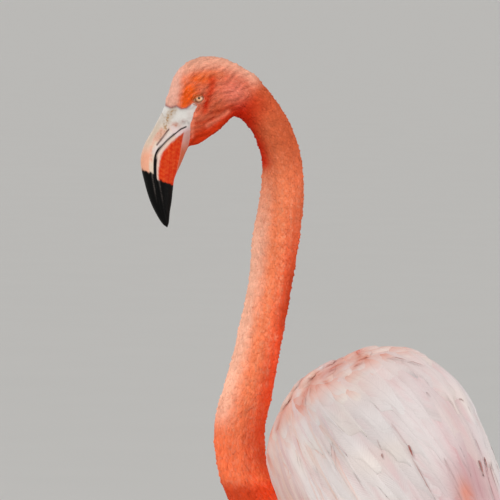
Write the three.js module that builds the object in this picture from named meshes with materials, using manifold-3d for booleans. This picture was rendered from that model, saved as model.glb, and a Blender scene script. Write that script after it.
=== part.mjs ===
// A life-size standing flamingo (Phoenicopterus ruber), built as a still display model.
// Millimetres, +Z up. The trunk faces -X; the neck and head are turned to the bird's left.
// The origin is on the floor, under the middle of the model's box.
import * as THREE from 'three';
import { mergeVertices } from 'three/addons/utils/BufferGeometryUtils.js';
import Module from 'manifold-3d';

const wasm = await Module();
wasm.setup();

// ---- Driving dimensions ------------------------------------------------------------------

const gap = 0.3; // clearance between neighbouring solids

// The body: an egg with its blunt end at the shoulders, pitched tail-down.
const bodyHeight = 744; // height of the body's centre above the floor
const bodyPitch = THREE.MathUtils.degToRad(38);
const plumage = { front: -150, rear: 270, side: 94, back: 150, belly: 98 };
const trunkSize = { front: -141, rear: 226, side: 84, back: 139, belly: 98 };
const taper = 0.9; // how pointed an egg's rear end is: 0.5 is an ellipse's round end

// The neck and head stand in a plane of their own.
const neckTurn = THREE.MathUtils.degToRad(50); // how far that plane is turned to the bird's left
const neckOffset = 130; // how far it stands from the body's centre, towards the bird's right

// The neck from head to breast: reach is forward of the body's centre, thick is front to back.
const neckStations = [
  { reach: 145, height: 1154, thick: 46, wide: 42 },
  { reach: 134, height: 1147, thick: 44, wide: 42 },
  { reach: 113, height: 1123, thick: 40, wide: 40 },
  { reach: 98, height: 1085, thick: 42, wide: 40 },
  { reach: 97, height: 1044, thick: 47, wide: 43 },
  { reach: 104, height: 997, thick: 50, wide: 45 },
  { reach: 110, height: 948, thick: 46, wide: 43 },
  { reach: 121, height: 892, thick: 48, wide: 44 },
  { reach: 132, height: 841, thick: 52, wide: 47 },
  { reach: 142, height: 800, thick: 54, wide: 49 },
  { reach: 139, height: 761, thick: 53, wide: 50 },
  { reach: 127, height: 732, thick: 56, wide: 54, inward: 5 },
  { reach: 105, height: 710, thick: 64, wide: 64, inward: 14 },
  { reach: 76, height: 703, thick: 78, wide: 78, inward: 30 },
  { reach: 46, height: 712, thick: 86, wide: 90, inward: 52 },
];
const neckJoints = { neck_upper: [0.045, 0.36], neck_middle: [0.36, 0.64], neck_lower: [0.64, 1] };

// The head's profile, from the bill's base to the nape: [reach, height].
const crownLine = [[220, 1137.7], [216.8, 1153], [208.4, 1174.9], [190.6, 1187.6], [168.5, 1190.6],
  [144.4, 1182.2], [124.4, 1167]];
const chinLine = [[195.8, 1094.7], [187.4, 1095.7], [177, 1101.5], [163.2, 1112], [152.7, 1122.5],
  [147.5, 1127.2], [144.4, 1128.3]];
const headWidths = [28, 37, 44, 47, 46, 43, 42];

// The bill's three profile lines, from base to tip: ridge, mouth line and keel.
const ridgeLine = [[220, 1137.7], [231.5, 1115], [241.5, 1097], [245.5, 1081], [241, 1056], [233.5, 1033],
  [222.3, 1013.8], [217.9, 1010.4]];
const mouthLine = [[205.2, 1111.4], [219.5, 1098.5], [229.4, 1086.2], [231.5, 1069.5], [229.5, 1049],
  [226, 1030.5], [220.6, 1014.5], [217.7, 1010.3]];
const keelLine = [[195.8, 1094.7], [203.2, 1077], [209.7, 1062.4], [211.6, 1050], [212.9, 1038],
  [214.8, 1026], [216, 1014.5], [217.5, 1010.2]];
const billWidths = [29, 29, 28.5, 27, 22, 16.5, 10, 3];
const mouthGap = 0.5;

// The eyes.
const eyeReach = 184.2;
const eyeHeight = 1145.6;
const eyeRadius = 7.6;
const eyeSpread = 16.9; // from the head's middle plane to an eye's centre

// The folded wings, as seen from the side: [along the body, towards the back].
const wingOutline = [[-60, 240], [-112, 118], [-140, 66], [-152, 22], [-136, -20], [-100, -48], [-40, -62],
  [30, -60], [104, -46], [180, -32], [262, -20], [330, -6], [330, 240]];
// The flight feathers' tips below them, and the tail.
const flightTips = { from: [100, 36, -16], to: [320, 15, -4], thick: 13, deep: 44 };
const tailSize = { from: [130, -20], to: [312, -26], wide: 100, thick: 24 };

// The legs, in the body's own frame: [along X, across Y, height].
const hip = [-14, 44, 706];
const ankle = [56, 41, 338];
const footRoot = [36, 44, 12];
const footTop = 20; // height at which the leg's shank ends and the foot begins
const strideForward = 16; // the left foot stands this far ahead of the middle, the right one behind
const thighEnd = 0.46; // share of the upper leg that is feathered
const legWidth = { thigh: 66, shin: 13.5, ankle: 21, shank: 11.5, foot: 17 };

// The feet: three webbed front toes and a small hind toe, lying on the floor.
const toes = [
  { angle: 3, length: 86, thick: 11 },
  { angle: 36, length: 72, thick: 10 },
  { angle: -33, length: 68, thick: 10 },
];
const hindToe = { length: 17, thick: 7 };
const clawLength = 8;
const webThickness = 2.6;
const webReach = 0.86; // how far along the toes the web runs
const toeLift = 4.2; // height of a toe's middle line above the floor

const colour = {
  coral: '#e8734f',
  shell: '#dfd2cf',
  rose: '#e39c84',
  bill: '#dcc4ae',
  black: '#161212',
  eye: '#e9d690',
  leg: '#dd9a8c',
};

// ---- Making solids -----------------------------------------------------------------------

// A smooth function of 0..1 through evenly spaced values.
function through(values) {
  const spline = new THREE.SplineCurve(values.map((value, i) => new THREE.Vector2(i, value)));
  return (x) => spline.getPoint(x).y;
}

// Reshapes a closed round geometry of height 1 about Y. place(x, angle, edge) gives each vertex:
// x runs 0..1 along the height, and edge is 1 on the wall and 0 at a pole or a cap's middle.
function reshape(geometry, place) {
  const position = geometry.attributes.position;
  for (let i = 0; i < position.count; i += 1) {
    const [px, py, pz] = [position.getX(i), position.getY(i), position.getZ(i)];
    const edge = Math.hypot(px, pz) > 1e-6 ? 1 : 0;
    const x = THREE.MathUtils.clamp(0.5 - py, 0, 1);
    position.setXYZ(i, ...place(x, Math.atan2(px, pz), edge).toArray());
  }
  geometry.deleteAttribute('normal');
  geometry.deleteAttribute('uv');
  return mergeVertices(geometry, 1e-4);
}

const eggFacets = [28, 18]; // sides and rings of the body's eggs
const rounded = (sides, rings) => new THREE.SphereGeometry(0.5, sides, rings);
const flatEnded = (sides, rings) => new THREE.CylinderGeometry(1, 1, 1, sides, rings);
const pointed = (sides, rings) => new THREE.CylinderGeometry(1, 0.001, 1, sides, rings);

// Turns a closed geometry into a manifold solid, facing outwards.
function toSolid(geometry) {
  const triVerts = Uint32Array.from(geometry.index.array);
  const vertProperties = Float32Array.from(geometry.attributes.position.array);
  const solid = new wasm.Manifold(new wasm.Mesh({ numProp: 3, vertProperties, triVerts }));
  if (solid.volume() > 0) return solid;
  for (let i = 0; i < triVerts.length; i += 3) {
    [triVerts[i], triVerts[i + 1]] = [triVerts[i + 1], triVerts[i]];
  }
  return new wasm.Manifold(new wasm.Mesh({ numProp: 3, vertProperties, triVerts }));
}

function toGeometry(solid) {
  const { vertProperties, triVerts } = solid.getMesh();
  const geometry = new THREE.BufferGeometry();
  geometry.setAttribute('position', new THREE.BufferAttribute(vertProperties, 3));
  geometry.setIndex(new THREE.BufferAttribute(triVerts, 1));
  return geometry;
}

// What is left of a solid outside its neighbours; crumbs that come loose are dropped.
function carve(solid, ...cutters) {
  const rest = cutters.reduce((left, cutter) => left.subtract(cutter), solid);
  return rest.decompose().reduce((most, piece) => (piece.volume() > most.volume() ? piece : most));
}

// The round section of a limb or trunk: power 2 is an ellipse, more is squarer.
function section(angle, power = 2) {
  const bend = (value) => Math.sign(value) * Math.abs(value) ** (2 / power);
  return { up: bend(Math.cos(angle)), side: bend(Math.sin(angle)) };
}

// A solid swept along a curve between two of its parameters. across is the sideways direction.
function sweep({ curve, across, deep, wide, span = [0, 1], base = flatEnded(20, 16), grow = 0 }) {
  return toSolid(reshape(base, (x, angle, edge) => {
    const t = THREE.MathUtils.lerp(span[0], span[1], x);
    const tangent = curve.getTangent(t);
    const up = new THREE.Vector3().crossVectors(across, tangent).normalize();
    const side = new THREE.Vector3().crossVectors(tangent, up);
    const { up: high, side: wayOut } = section(angle, 2.1);
    const end = x === 0 ? -grow : x === 1 ? grow : 0;
    return curve.getPoint(t)
      .addScaledVector(tangent, end)
      .addScaledVector(up, edge * high * (deep(t) / 2 + grow))
      .addScaledVector(side, edge * wayOut * (wide(t) / 2 + grow));
  }));
}

// ---- The body's frame --------------------------------------------------------------------

// A point of the body: along towards the tail, back towards the spine, side to the bird's right.
function bodyPoint(along, side, back) {
  const x = along * Math.cos(bodyPitch) + back * Math.sin(bodyPitch);
  const z = -along * Math.sin(bodyPitch) + back * Math.cos(bodyPitch);
  return new THREE.Vector3(x, side, bodyHeight + z);
}

function eggProfile(x) {
  const widest = 0.5 / (0.5 + taper);
  return (x ** 0.5 * (1 - x) ** taper) / (widest ** 0.5 * (1 - widest) ** taper);
}

function egg({ front, rear, side, back, belly }, sides, rings, grow = 0) {
  return toSolid(reshape(rounded(sides, rings), (x, angle) => {
    const { up, side: wayOut } = section(angle, 2.15);
    const size = eggProfile(x);
    const along = THREE.MathUtils.lerp(front - grow, rear + grow, x);
    const rise = up > 0 ? back + grow : belly + grow;
    return bodyPoint(along, wayOut * size * (side + grow), up * size * rise);
  }));
}

const bodyRotation = new THREE.Matrix4().makeRotationY(bodyPitch).setPosition(0, 0, bodyHeight);

// A prism across the whole body whose outline is drawn in the side view.
function sideSlab(outline, grow = 0) {
  const loop = new THREE.CatmullRomCurve3(
    outline.map(([along, back]) => new THREE.Vector3(along, back, 0)), true, 'catmullrom', 0.4);
  const middle = new THREE.Vector3(60, 60, 0);
  const points = loop.getPoints(36).slice(0, -1)
    .map((point) => point.addScaledVector(point.clone().sub(middle).normalize(), grow));
  const shape = new THREE.Shape(points.map((point) => new THREE.Vector2(point.x, point.y)));
  const slab = new THREE.ExtrudeGeometry(shape, { depth: 400, bevelEnabled: false, steps: 1 });
  slab.translate(0, 0, -200);
  slab.rotateX(Math.PI / 2);
  slab.deleteAttribute('normal');
  slab.deleteAttribute('uv');
  return toSolid(mergeVertices(slab.applyMatrix4(bodyRotation), 1e-4));
}

// ---- The neck's plane --------------------------------------------------------------------

// A point of the head or neck: reach forward, out from the plane to the bird's right, height.
function neckPoint(reach, out, height) {
  const point = new THREE.Vector3(-reach, neckOffset + out, height);
  return point.applyAxisAngle(new THREE.Vector3(0, 0, 1), neckTurn);
}

const neckAcross = neckPoint(0, 1, 0).sub(neckPoint(0, 0, 0));

const neckCurve = new THREE.CatmullRomCurve3(neckStations.map(
  ({ reach, height, inward = 0 }) => neckPoint(reach, -inward, height)));
const neckThick = through(neckStations.map(({ thick }) => thick));
const neckWide = through(neckStations.map(({ wide }) => wide));

function neckLength(span, rings, grow = 0) {
  const base = flatEnded(18, rings);
  return sweep({ curve: neckCurve, across: neckAcross, deep: neckThick, wide: neckWide, span, base, grow });
}

const profileCurve = (line) => new THREE.CatmullRomCurve3(
  line.map(([reach, height]) => neckPoint(reach, 0, height)));

// A solid between two profile lines. shape(angle) gives how far a vertex goes from the lower
// line (-1) to the upper one (1), and how far it goes sideways.
function between({ upper, lower, widths, base, shape, grow = 0 }) {
  const [top, bottom, wide] = [profileCurve(upper), profileCurve(lower), through(widths)];
  return toSolid(reshape(base, (x, angle, edge) => {
    const [high, low] = [top.getPoint(x), bottom.getPoint(x)];
    const middle = high.clone().add(low).multiplyScalar(0.5);
    const rise = high.clone().sub(low);
    const half = rise.length() / 2;
    rise.normalize();
    const ahead = new THREE.Vector3().crossVectors(rise, neckAcross).normalize();
    const end = x === 0 ? grow : x === 1 ? -grow : 0;
    const { up, side } = shape(angle);
    return middle
      .addScaledVector(ahead, end)
      .addScaledVector(rise, edge * up * (half + grow))
      .addScaledVector(neckAcross, edge * side * (wide(x) / 2 + grow));
  }));
}

// ---- Head and bill -----------------------------------------------------------------------

// The cheeks hang a little wide below the middle, and the crown is narrower.
function headSection(angle) {
  const { up, side } = section(angle, 2.1);
  return { up, side: side * (1 - 0.1 * up) };
}

function headSolid(grow = 0) {
  return between({ upper: crownLine, lower: chinLine, widths: headWidths, base: flatEnded(20, 11),
    shape: headSection, grow });
}

function eyeSolid(side, grow = 0) {
  const eye = new THREE.SphereGeometry(eyeRadius + grow, 11, 8);
  eye.translate(...neckPoint(eyeReach, side * eyeSpread, eyeHeight).toArray());
  eye.deleteAttribute('normal');
  eye.deleteAttribute('uv');
  return toSolid(mergeVertices(eye, 1e-4));
}

// Half of a bill: rounded outside, and flat where the two halves meet.
function mandibleSection(roundSide) {
  return (angle) => {
    const { up, side } = section(angle, 2.3);
    const rise = Math.max(up * roundSide, 0);
    return { up: roundSide * (2 * rise - 1), side };
  };
}

function billHalf(upper, lower, roundSide) {
  return between({ upper, lower, widths: billWidths, base: pointed(14, 12),
    shape: mandibleSection(roundSide) });
}

// ---- Legs and feet -----------------------------------------------------------------------

// A limb from one point to another, with its thickness given by evenly spaced values.
function limb(points, thicknesses, sides, rings, { flat = 1, grow = 0, base = flatEnded(sides, rings) } = {}) {
  const curve = new THREE.CatmullRomCurve3(points);
  const thick = through(thicknesses);
  const across = new THREE.Vector3(0, 1, 0);
  return sweep({ curve, across, deep: thick, wide: (t) => thick(t) * flat, base, grow });
}

const mirrored = ([x, y, z], side, shift = 0) => new THREE.Vector3(x - shift, side * y, z);

function footSolid(root, side) {
  const pieces = toes.map(({ angle, length, thick }) => {
    const turn = THREE.MathUtils.degToRad(angle) * side;
    const reach = (share) => new THREE.Vector3(
      root.x - Math.cos(turn) * length * share, root.y + Math.sin(turn) * length * share,
      THREE.MathUtils.lerp(toeLift, thick * 0.34, share));
    const claw = reach(1 + clawLength / length).setZ(1.2);
    const across = new THREE.Vector3(Math.sin(turn), Math.cos(turn), 0);
    const curve = new THREE.CatmullRomCurve3([reach(-0.04), reach(0.3), reach(0.6), reach(0.92), claw]);
    const deep = through([thick * 1.1, thick, thick * 0.94, thick * 0.72, 2.2]);
    return sweep({ curve, across, deep, wide: deep, base: rounded(7, 7) });
  });
  const hind = limb([root.clone().setZ(9), root.clone().add(new THREE.Vector3(hindToe.length, 0, -5))],
    [hindToe.thick, hindToe.thick * 0.8, 3], 8, 4, { base: rounded(6, 4) });
  const knuckle = limb([root.clone().setZ(footTop), root.clone().setZ(4)],
    [legWidth.shank, legWidth.foot, legWidth.foot * 0.7], 10, 4);
  return [...pieces, hind, knuckle, webSolid(root, side)]
    .reduce((whole, piece) => whole.add(piece))
    .trimByPlane([0, 0, 1], 0)
    .trimByPlane([0, 0, -1], gap - footTop);
}

// The web: a thin plate between the toes, its front edges hollowed between one toe and the next.
function webSolid(root, side) {
  const fan = [toes[1], toes[0], toes[2]];
  const tips = fan.map(({ angle, length }) => {
    const turn = THREE.MathUtils.degToRad(angle) * side;
    return new THREE.Vector2(-Math.cos(turn), Math.sin(turn)).multiplyScalar(length * webReach);
  });
  const web = new THREE.Shape();
  web.moveTo(2, 0);
  web.lineTo(tips[0].x, tips[0].y);
  for (const [from, to] of [[tips[0], tips[1]], [tips[1], tips[2]]]) {
    const dip = from.clone().add(to).multiplyScalar(0.4);
    web.quadraticCurveTo(dip.x, dip.y, to.x, to.y);
  }
  web.lineTo(2, 0);
  const plate = new THREE.ExtrudeGeometry(web, { depth: webThickness, bevelEnabled: false, curveSegments: 6 });
  plate.translate(root.x, root.y, 0);
  plate.deleteAttribute('normal');
  plate.deleteAttribute('uv');
  return toSolid(mergeVertices(plate, 1e-4));
}

function legSolids(side) {
  const shift = -side * strideForward;
  const top = mirrored(hip, side);
  const joint = mirrored(ankle, side, shift * 0.5);
  const root = mirrored(footRoot, side, shift);
  const upper = (share) => top.clone().lerp(joint, share);
  const thigh = limb([upper(0), upper(0.16), upper(0.32), upper(thighEnd)],
    [legWidth.thigh, legWidth.thigh, legWidth.thigh * 0.62, legWidth.shin * 1.5], 14, 6, { flat: 0.82 });
  const shinSolid = (grow) => limb([upper(thighEnd + 0.002), upper(0.66), upper(0.9), joint],
    [legWidth.shin, legWidth.shin * 0.95, legWidth.shin * 1.1, legWidth.ankle], 10, 8, { grow });
  const shin = shinSolid(0);
  const lower = (share) => joint.clone().lerp(root, share);
  const shank = carve(limb([lower(0), lower(0.06), lower(0.5), root.clone().setZ(footTop - 3)],
    [legWidth.ankle * 0.98, legWidth.shank * 1.1, legWidth.shank, legWidth.shank], 10, 10), shinSolid(gap))
    .trimByPlane([0, 0, 1], footTop);
  return { thigh, shin, shank, foot: footSolid(root, side) };
}

// ---- The bird ----------------------------------------------------------------------------

const flamingo = new THREE.Group();

function addPart(name, solid, hex, roughness = 0.8) {
  const material = new THREE.MeshStandardMaterial({ color: hex, roughness, metalness: 0 });
  const mesh = new THREE.Mesh(toGeometry(solid), material);
  mesh.name = name;
  flamingo.add(mesh);
}

const trunk = egg(trunkSize, ...eggFacets);
const trunkRoom = egg(trunkSize, ...eggFacets, gap);
const neckRoom = neckLength([0.6, 1], 10, gap);
const wingRoom = egg(plumage, ...eggFacets, gap).intersect(sideSlab(wingOutline, gap));
const wings = carve(egg(plumage, ...eggFacets).intersect(sideSlab(wingOutline)), trunkRoom, neckRoom);
addPart('trunk', trunk, colour.shell);
addPart('wing_left', wings.trimByPlane([0, -1, 0], gap / 2), colour.shell);
addPart('wing_right', wings.trimByPlane([0, 1, 0], gap / 2), colour.shell);

function tailSolid(grow = 0) {
  const { from, to, wide, thick } = tailSize;
  const curve = new THREE.LineCurve3(bodyPoint(from[0], 0, from[1]), bodyPoint(to[0], 0, to[1]));
  const spread = through([0.3, 0.5, 0.8, 1, 0.5].map((share) => share * wide));
  const depth = through([1.6, 1.2, 0.9, 0.6, 0.3].map((share) => share * thick));
  return sweep({ curve, across: new THREE.Vector3(0, 1, 0), deep: depth, wide: spread, base: rounded(12, 7), grow });
}

addPart('tail', carve(tailSolid(), trunkRoom, wingRoom), colour.rose);

for (const [name, side] of [['left', -1], ['right', 1]]) {
  const { from, to, thick, deep } = flightTips;
  const curve = new THREE.LineCurve3(bodyPoint(from[0], side * from[1], from[2]),
    bodyPoint(to[0], side * to[1], to[2]));
  const blade = sweep({
    curve,
    across: new THREE.Vector3(0, 1, 0),
    deep: through([0.8, 1, 0.95, 0.7, 0.3].map((share) => share * deep)),
    wide: through([0.7, 1, 1, 0.9, 0.6].map((share) => share * thick)),
    base: rounded(8, 10),
  });
  addPart(`flight_feathers_${name}`, carve(blade, trunkRoom, wingRoom, tailSolid(gap)), colour.black, 0.5);
}

// The neck starts at the plane where the head ends.
const [napeEnd, throatEnd] = [crownLine, chinLine].map((line) => neckPoint(line.at(-1)[0], 0, line.at(-1)[1]));
const backwards = new THREE.Vector3().crossVectors(neckAcross, napeEnd.clone().sub(throatEnd)).normalize();
const headPlane = [backwards.toArray(), backwards.dot(napeEnd) + gap];

const headRoom = headSolid(gap);
for (const [name, [start, end]] of Object.entries(neckJoints)) {
  const cut = gap / 2 / neckCurve.getLength();
  const length = neckLength([start + (start > 0.1 ? cut : 0), end - (end < 1 ? cut : 0)], 10);
  addPart(name, carve(length, trunkRoom).trimByPlane(...headPlane), colour.coral);
}

addPart('head', carve(headSolid(), eyeSolid(-1, gap), eyeSolid(1, gap)), colour.coral);
const lowerMouth = mouthLine.map(([reach, height]) => [reach - mouthGap, height]);
addPart('bill_upper', carve(billHalf(ridgeLine, mouthLine, 1), headRoom), colour.bill, 0.45);
addPart('bill_lower', carve(billHalf(lowerMouth, keelLine, -1), headRoom), colour.black, 0.4);
addPart('eye_left', eyeSolid(-1), colour.eye, 0.1);
addPart('eye_right', eyeSolid(1), colour.eye, 0.1);

for (const [name, side] of [['left', -1], ['right', 1]]) {
  const { thigh, shin, shank, foot } = legSolids(side);
  addPart(`thigh_${name}`, carve(thigh, trunkRoom, wingRoom), colour.rose);
  addPart(`shin_${name}`, shin, colour.leg, 0.6);
  addPart(`shank_${name}`, shank, colour.leg, 0.6);
  addPart(`foot_${name}`, foot, colour.leg, 0.6);
}

// The model stands centred over its own origin.
const box = new THREE.Box3().setFromObject(flamingo);
const middle = box.getCenter(new THREE.Vector3());
flamingo.position.set(-middle.x, -middle.y, 0);

export default flamingo;
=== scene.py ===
# %% [markdown]
# # A life-size flamingo for a museum hall
# The bird comes from the CAD model as 22 plain solids. This lesson dresses them: one skin under
# the plumage, feathers and tufts over it, a horn bill, wet eyes and scaly legs. Everything is in
# metres in the CAD model's own frame, and the sizes below are millimetres, as the CAD source has
# them.

# %% Load the frame
import math

import bmesh
import bpy
import numpy as np
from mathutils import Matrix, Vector
from mathutils.bvhtree import BVHTree


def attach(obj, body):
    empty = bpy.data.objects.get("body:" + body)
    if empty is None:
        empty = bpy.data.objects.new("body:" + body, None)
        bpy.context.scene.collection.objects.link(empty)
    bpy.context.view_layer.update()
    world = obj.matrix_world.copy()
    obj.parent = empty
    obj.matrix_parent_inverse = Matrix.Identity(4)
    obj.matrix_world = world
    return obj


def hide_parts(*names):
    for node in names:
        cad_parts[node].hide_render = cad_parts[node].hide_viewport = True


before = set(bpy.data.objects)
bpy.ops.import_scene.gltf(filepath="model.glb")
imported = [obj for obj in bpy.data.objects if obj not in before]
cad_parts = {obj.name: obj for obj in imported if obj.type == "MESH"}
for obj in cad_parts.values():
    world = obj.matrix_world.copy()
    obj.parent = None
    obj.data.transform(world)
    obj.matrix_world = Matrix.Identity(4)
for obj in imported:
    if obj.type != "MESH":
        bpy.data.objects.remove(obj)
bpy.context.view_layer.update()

# %% [markdown]
# ## The bird's own dimensions
# Feathers have to know where they grow, so the script repeats the driving dimensions of the solids.
# The body is an egg pitched tail-down. The neck and head stand in a plane of their own, turned to
# the bird's left, and their profiles are drawn as a reach forward and a height above the floor.

# %% Dimensions in millimetres
MM = 0.001
centre_shift = np.array([6.52, 7.07, 0.0])  # the model was centred over its origin
body_height, body_pitch, taper = 744, math.radians(38), 0.9
plumage = dict(front=-150, rear=270, side=94, back=150, belly=98)
trunk = dict(front=-141, rear=226, side=84, back=139, belly=98)
neck_turn, neck_offset = math.radians(50), 130
neck_stations = np.array([  # reach, height, thick, wide, inward
    (145, 1154, 46, 42, 0), (134, 1147, 44, 42, 0), (113, 1123, 40, 40, 0), (98, 1085, 42, 40, 0),
    (97, 1044, 47, 43, 0), (104, 997, 50, 45, 0), (110, 948, 46, 43, 0), (121, 892, 48, 44, 0),
    (132, 841, 52, 47, 0), (142, 800, 54, 49, 0), (139, 761, 53, 50, 0), (127, 732, 56, 54, 5),
    (105, 710, 64, 64, 14), (76, 703, 78, 78, 30), (46, 712, 86, 90, 52)], float)
body_below, head_above = 905, 1060  # heights where the neck's plumage meets the other two
thigh_below, lore_above, bill_below = 640, 1072, 1142  # limits of the thighs, bare skin and bill
crown_line = [(220, 1137.7), (216.8, 1153), (208.4, 1174.9), (190.6, 1187.6), (168.5, 1190.6),
              (144.4, 1182.2), (124.4, 1167)]
chin_line = [(195.8, 1094.7), (187.4, 1095.7), (177, 1101.5), (163.2, 1112), (152.7, 1122.5),
             (147.5, 1127.2), (144.4, 1128.3)]
head_widths = [28, 37, 44, 47, 46, 43, 42]
ridge_line = [(220, 1137.7), (231.5, 1115), (241.5, 1097), (245.5, 1081), (241, 1056),
              (233.5, 1033), (222.3, 1013.8), (217.9, 1010.4)]
mouth_line = [(204.6, 1112.6), (219.6, 1100), (228.7, 1087.4), (230.2, 1069.5), (227.4, 1049),
              (223.9, 1030.5), (219.8, 1014.5), (217.7, 1010.3)]
keel_line = [(195.8, 1094.7), (203.2, 1077), (209.7, 1062.4), (211.6, 1050), (212.9, 1038),
             (214.8, 1026), (216, 1014.5), (217.5, 1010.2)]
bill_widths, bill_root = [29, 29, 28.5, 27, 22, 16.5, 10, 3], 0.05
eye_reach, eye_out, eye_height, eye_radius = 184.2, 16.9, 1145.6, 7.6
hip, ankle, foot_root = (-14, 44, 706), (56, 41, 338), (36, 44, 12)
stride, thigh_end = 16, 0.46
leg_width = dict(thigh=66, shin=13.5)
toes = [(36, 72, 10), (3, 86, 11), (-33, 68, 10)]  # angle, length and thickness
sides = {"left": -1, "right": 1}
chance = np.random.default_rng(20)

# %% [markdown]
# ## Curves and surfaces
# Each region of the bird is a surface that two numbers reach: `x` runs from 0 to 1 the way its
# feathers point, and `angle` runs round it, with 0 on top. A feather's place, its lie and its spot
# on the unwrapped skin all follow from those two numbers. The alternative is to scatter feathers
# over the skin's faces, but then they have no rows and no common direction.

# %% Curves
def smooth_line(points, t):
    """Centripetal Catmull-Rom curve through the points, at the values t from 0 to 1."""
    p = np.asarray(points, float)
    p = np.vstack([2 * p[0] - p[1], p, 2 * p[-1] - p[-2]])
    s = np.clip(t, 0, 1) * (len(p) - 3)
    i = np.minimum(s.astype(int), len(p) - 4)
    w = (s - i)[..., None]
    a, b, c, d = (p[i + k] for k in range(4))
    ab, bc, cd = (np.linalg.norm(v, axis=-1, keepdims=True) ** 0.5 for v in (b - a, c - b, d - c))
    m1 = ((b - a) / ab - (c - a) / (ab + bc) + (c - b) / bc) * bc
    m2 = ((c - b) / bc - (d - b) / (bc + cd) + (d - c) / cd) * bc
    return b + m1 * w + (3 * (c - b) - 2 * m1 - m2) * w**2 + (2 * (b - c) + m1 + m2) * w**3


def through(values, t):
    """A smooth value at t from evenly spaced values."""
    return smooth_line([(i, v) for i, v in enumerate(values)], t)[..., 1]


def unit(v):
    return v / np.maximum(np.linalg.norm(v, axis=-1, keepdims=True), 1e-9)


def section(angle, power):
    """A round section's cosine and sine: power 2 is an ellipse, and more is squarer."""
    return (np.sign(v) * np.abs(v) ** (2 / power) for v in (np.cos(angle), np.sin(angle)))


def soft(value, low, high):
    """0 below low, 1 above high, and smooth between them."""
    t = np.clip((value - low) / (high - low), 0, 1)
    return t * t * (3 - 2 * t)


def ripple(points, grain):
    """A smooth wobble between about -1 and 1, with waves of a size in millimetres."""
    x, y, z = np.moveaxis(np.asarray(points) / MM / grain * 2 * math.pi, -1, 0)
    return (np.sin(x * 1.0 + 1.7 * np.sin(z * 0.61)) + np.sin(z * 1.3 + 1.3 * np.sin(y * 0.83 + 2))
            + np.sin(y * 0.9 + 1.1 * np.sin(x * 0.7 + 4))) / 3


def row_frame(points):
    """Points of the bird in millimetres, as metres in the CAD model's frame."""
    return (points + centre_shift) * MM


# %% Surfaces of the body, neck, head and bill
def body_point(along, side, back):
    c, s = math.cos(body_pitch), math.sin(body_pitch)
    return np.stack([along * c + back * s, side + 0 * along, body_height - along * s + back * c], -1)


def neck_point(reach, out, height):
    c, s = math.cos(neck_turn), math.sin(neck_turn)
    y = neck_offset + out
    return np.stack([-reach * c - y * s, -reach * s + y * c, height + 0 * y], -1)


neck_across = neck_point(0.0, 1.0, 0.0) - neck_point(0.0, 0.0, 0.0)


def neck_place(points):
    """The reach, the distance out and the height of points in metres: neck_point backwards."""
    p = np.asarray(points) / MM - centre_shift
    c, s = math.cos(neck_turn), math.sin(neck_turn)
    return -p[..., 0] * c - p[..., 1] * s, p[..., 1] * c - p[..., 0] * s - neck_offset, p[..., 2]


def body_place(points):
    """How far along the body, to the side and towards the back points in metres are."""
    p = np.asarray(points) / MM - centre_shift
    c, s = math.cos(body_pitch), math.sin(body_pitch)
    z = p[..., 2] - body_height
    return p[..., 0] * c - z * s, p[..., 1], p[..., 0] * s + z * c


def egg(size):
    def surface(x, angle):
        x = np.clip(x, 0, 1)
        widest = 0.5 / (0.5 + taper)
        girth = x**0.5 * (1 - x) ** taper / (widest**0.5 * (1 - widest) ** taper)
        up, side = section(angle, 2.15)
        rise = np.where(up > 0, size["back"], size["belly"])
        along = size["front"] + (size["rear"] - size["front"]) * x
        return row_frame(body_point(along, side * girth * size["side"], up * girth * rise))
    return surface


def swept(curve, across, deep, wide):
    """A tube along a curve, as the solids of the neck and the legs are made."""
    def surface(x, angle):
        x = np.asarray(x, float)
        ahead = unit(curve(np.clip(x + 0.004, 0, 1)) - curve(np.clip(x - 0.004, 0, 1)))
        up = unit(np.cross(across, ahead))
        side = np.cross(ahead, up)
        high, out = section(angle, 2.1)
        return row_frame(curve(x) + up * (high * deep(x) / 2)[..., None]
                         + side * (out * wide(x) / 2)[..., None])
    return surface


def limb(line, widths, flat, across=(0.0, 1, 0)):
    """A tube through a line of points; flat is its depth sideways as a share of its width."""
    return swept(lambda t: smooth_line(line, t), np.array(across),
                 lambda t: through(widths, t), lambda t: through(widths, t) * flat)


def neck_curve(t):
    return smooth_line(neck_point(neck_stations[:, 0], -neck_stations[:, 4], neck_stations[:, 1]), t)


def lofted(upper, lower, widths, profile):
    """A form between two profile lines; profile gives the rise and the side for an angle."""
    def surface(x, angle):
        high, low = (neck_point(*(line[..., 0], 0.0, line[..., 1])) for line in
                     (smooth_line(upper, x), smooth_line(lower, x)))
        rise, side = profile(angle)
        half = through(widths, x) / 2
        return row_frame((high + low) / 2 + (high - low) / 2 * rise[..., None]
                         + neck_across * (side * half)[..., None])
    return surface


def head_profile(angle):
    up, side = section(angle, 2.1)
    return up, side * (1 - 0.1 * up)


def mandible_profile(round_side):
    def profile(angle):
        up, side = section(angle, 2.3)
        return round_side * (2 * np.maximum(up * round_side, 0) - 1), side
    return profile


def leg_line(side):
    """The hip, ankle and foot of one leg: the left foot is a little ahead."""
    shift = side * stride
    return [np.array([x + s, side * y, z], float)
            for (x, y, z), s in ((hip, 0), (ankle, shift * 0.5), (foot_root, shift))]


def thigh_surface(side):
    top, joint, _ = leg_line(side)
    thigh, shin = leg_width["thigh"], leg_width["shin"]
    return limb([top + (joint - top) * share for share in (0, 0.16, 0.32, thigh_end)],
                [thigh, thigh, thigh * 0.62, shin * 1.5], 0.82)


back_surface, belly_surface = egg(plumage), egg(trunk)
neck_surface = swept(neck_curve, neck_across, lambda t: through(neck_stations[:, 2], t),
                     lambda t: through(neck_stations[:, 3], t))
head_surface = lofted(crown_line, chin_line, head_widths, head_profile)
print("a point of the neck", neck_surface(np.array([0.3]), np.array([0.0]))[0].round(3))

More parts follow.
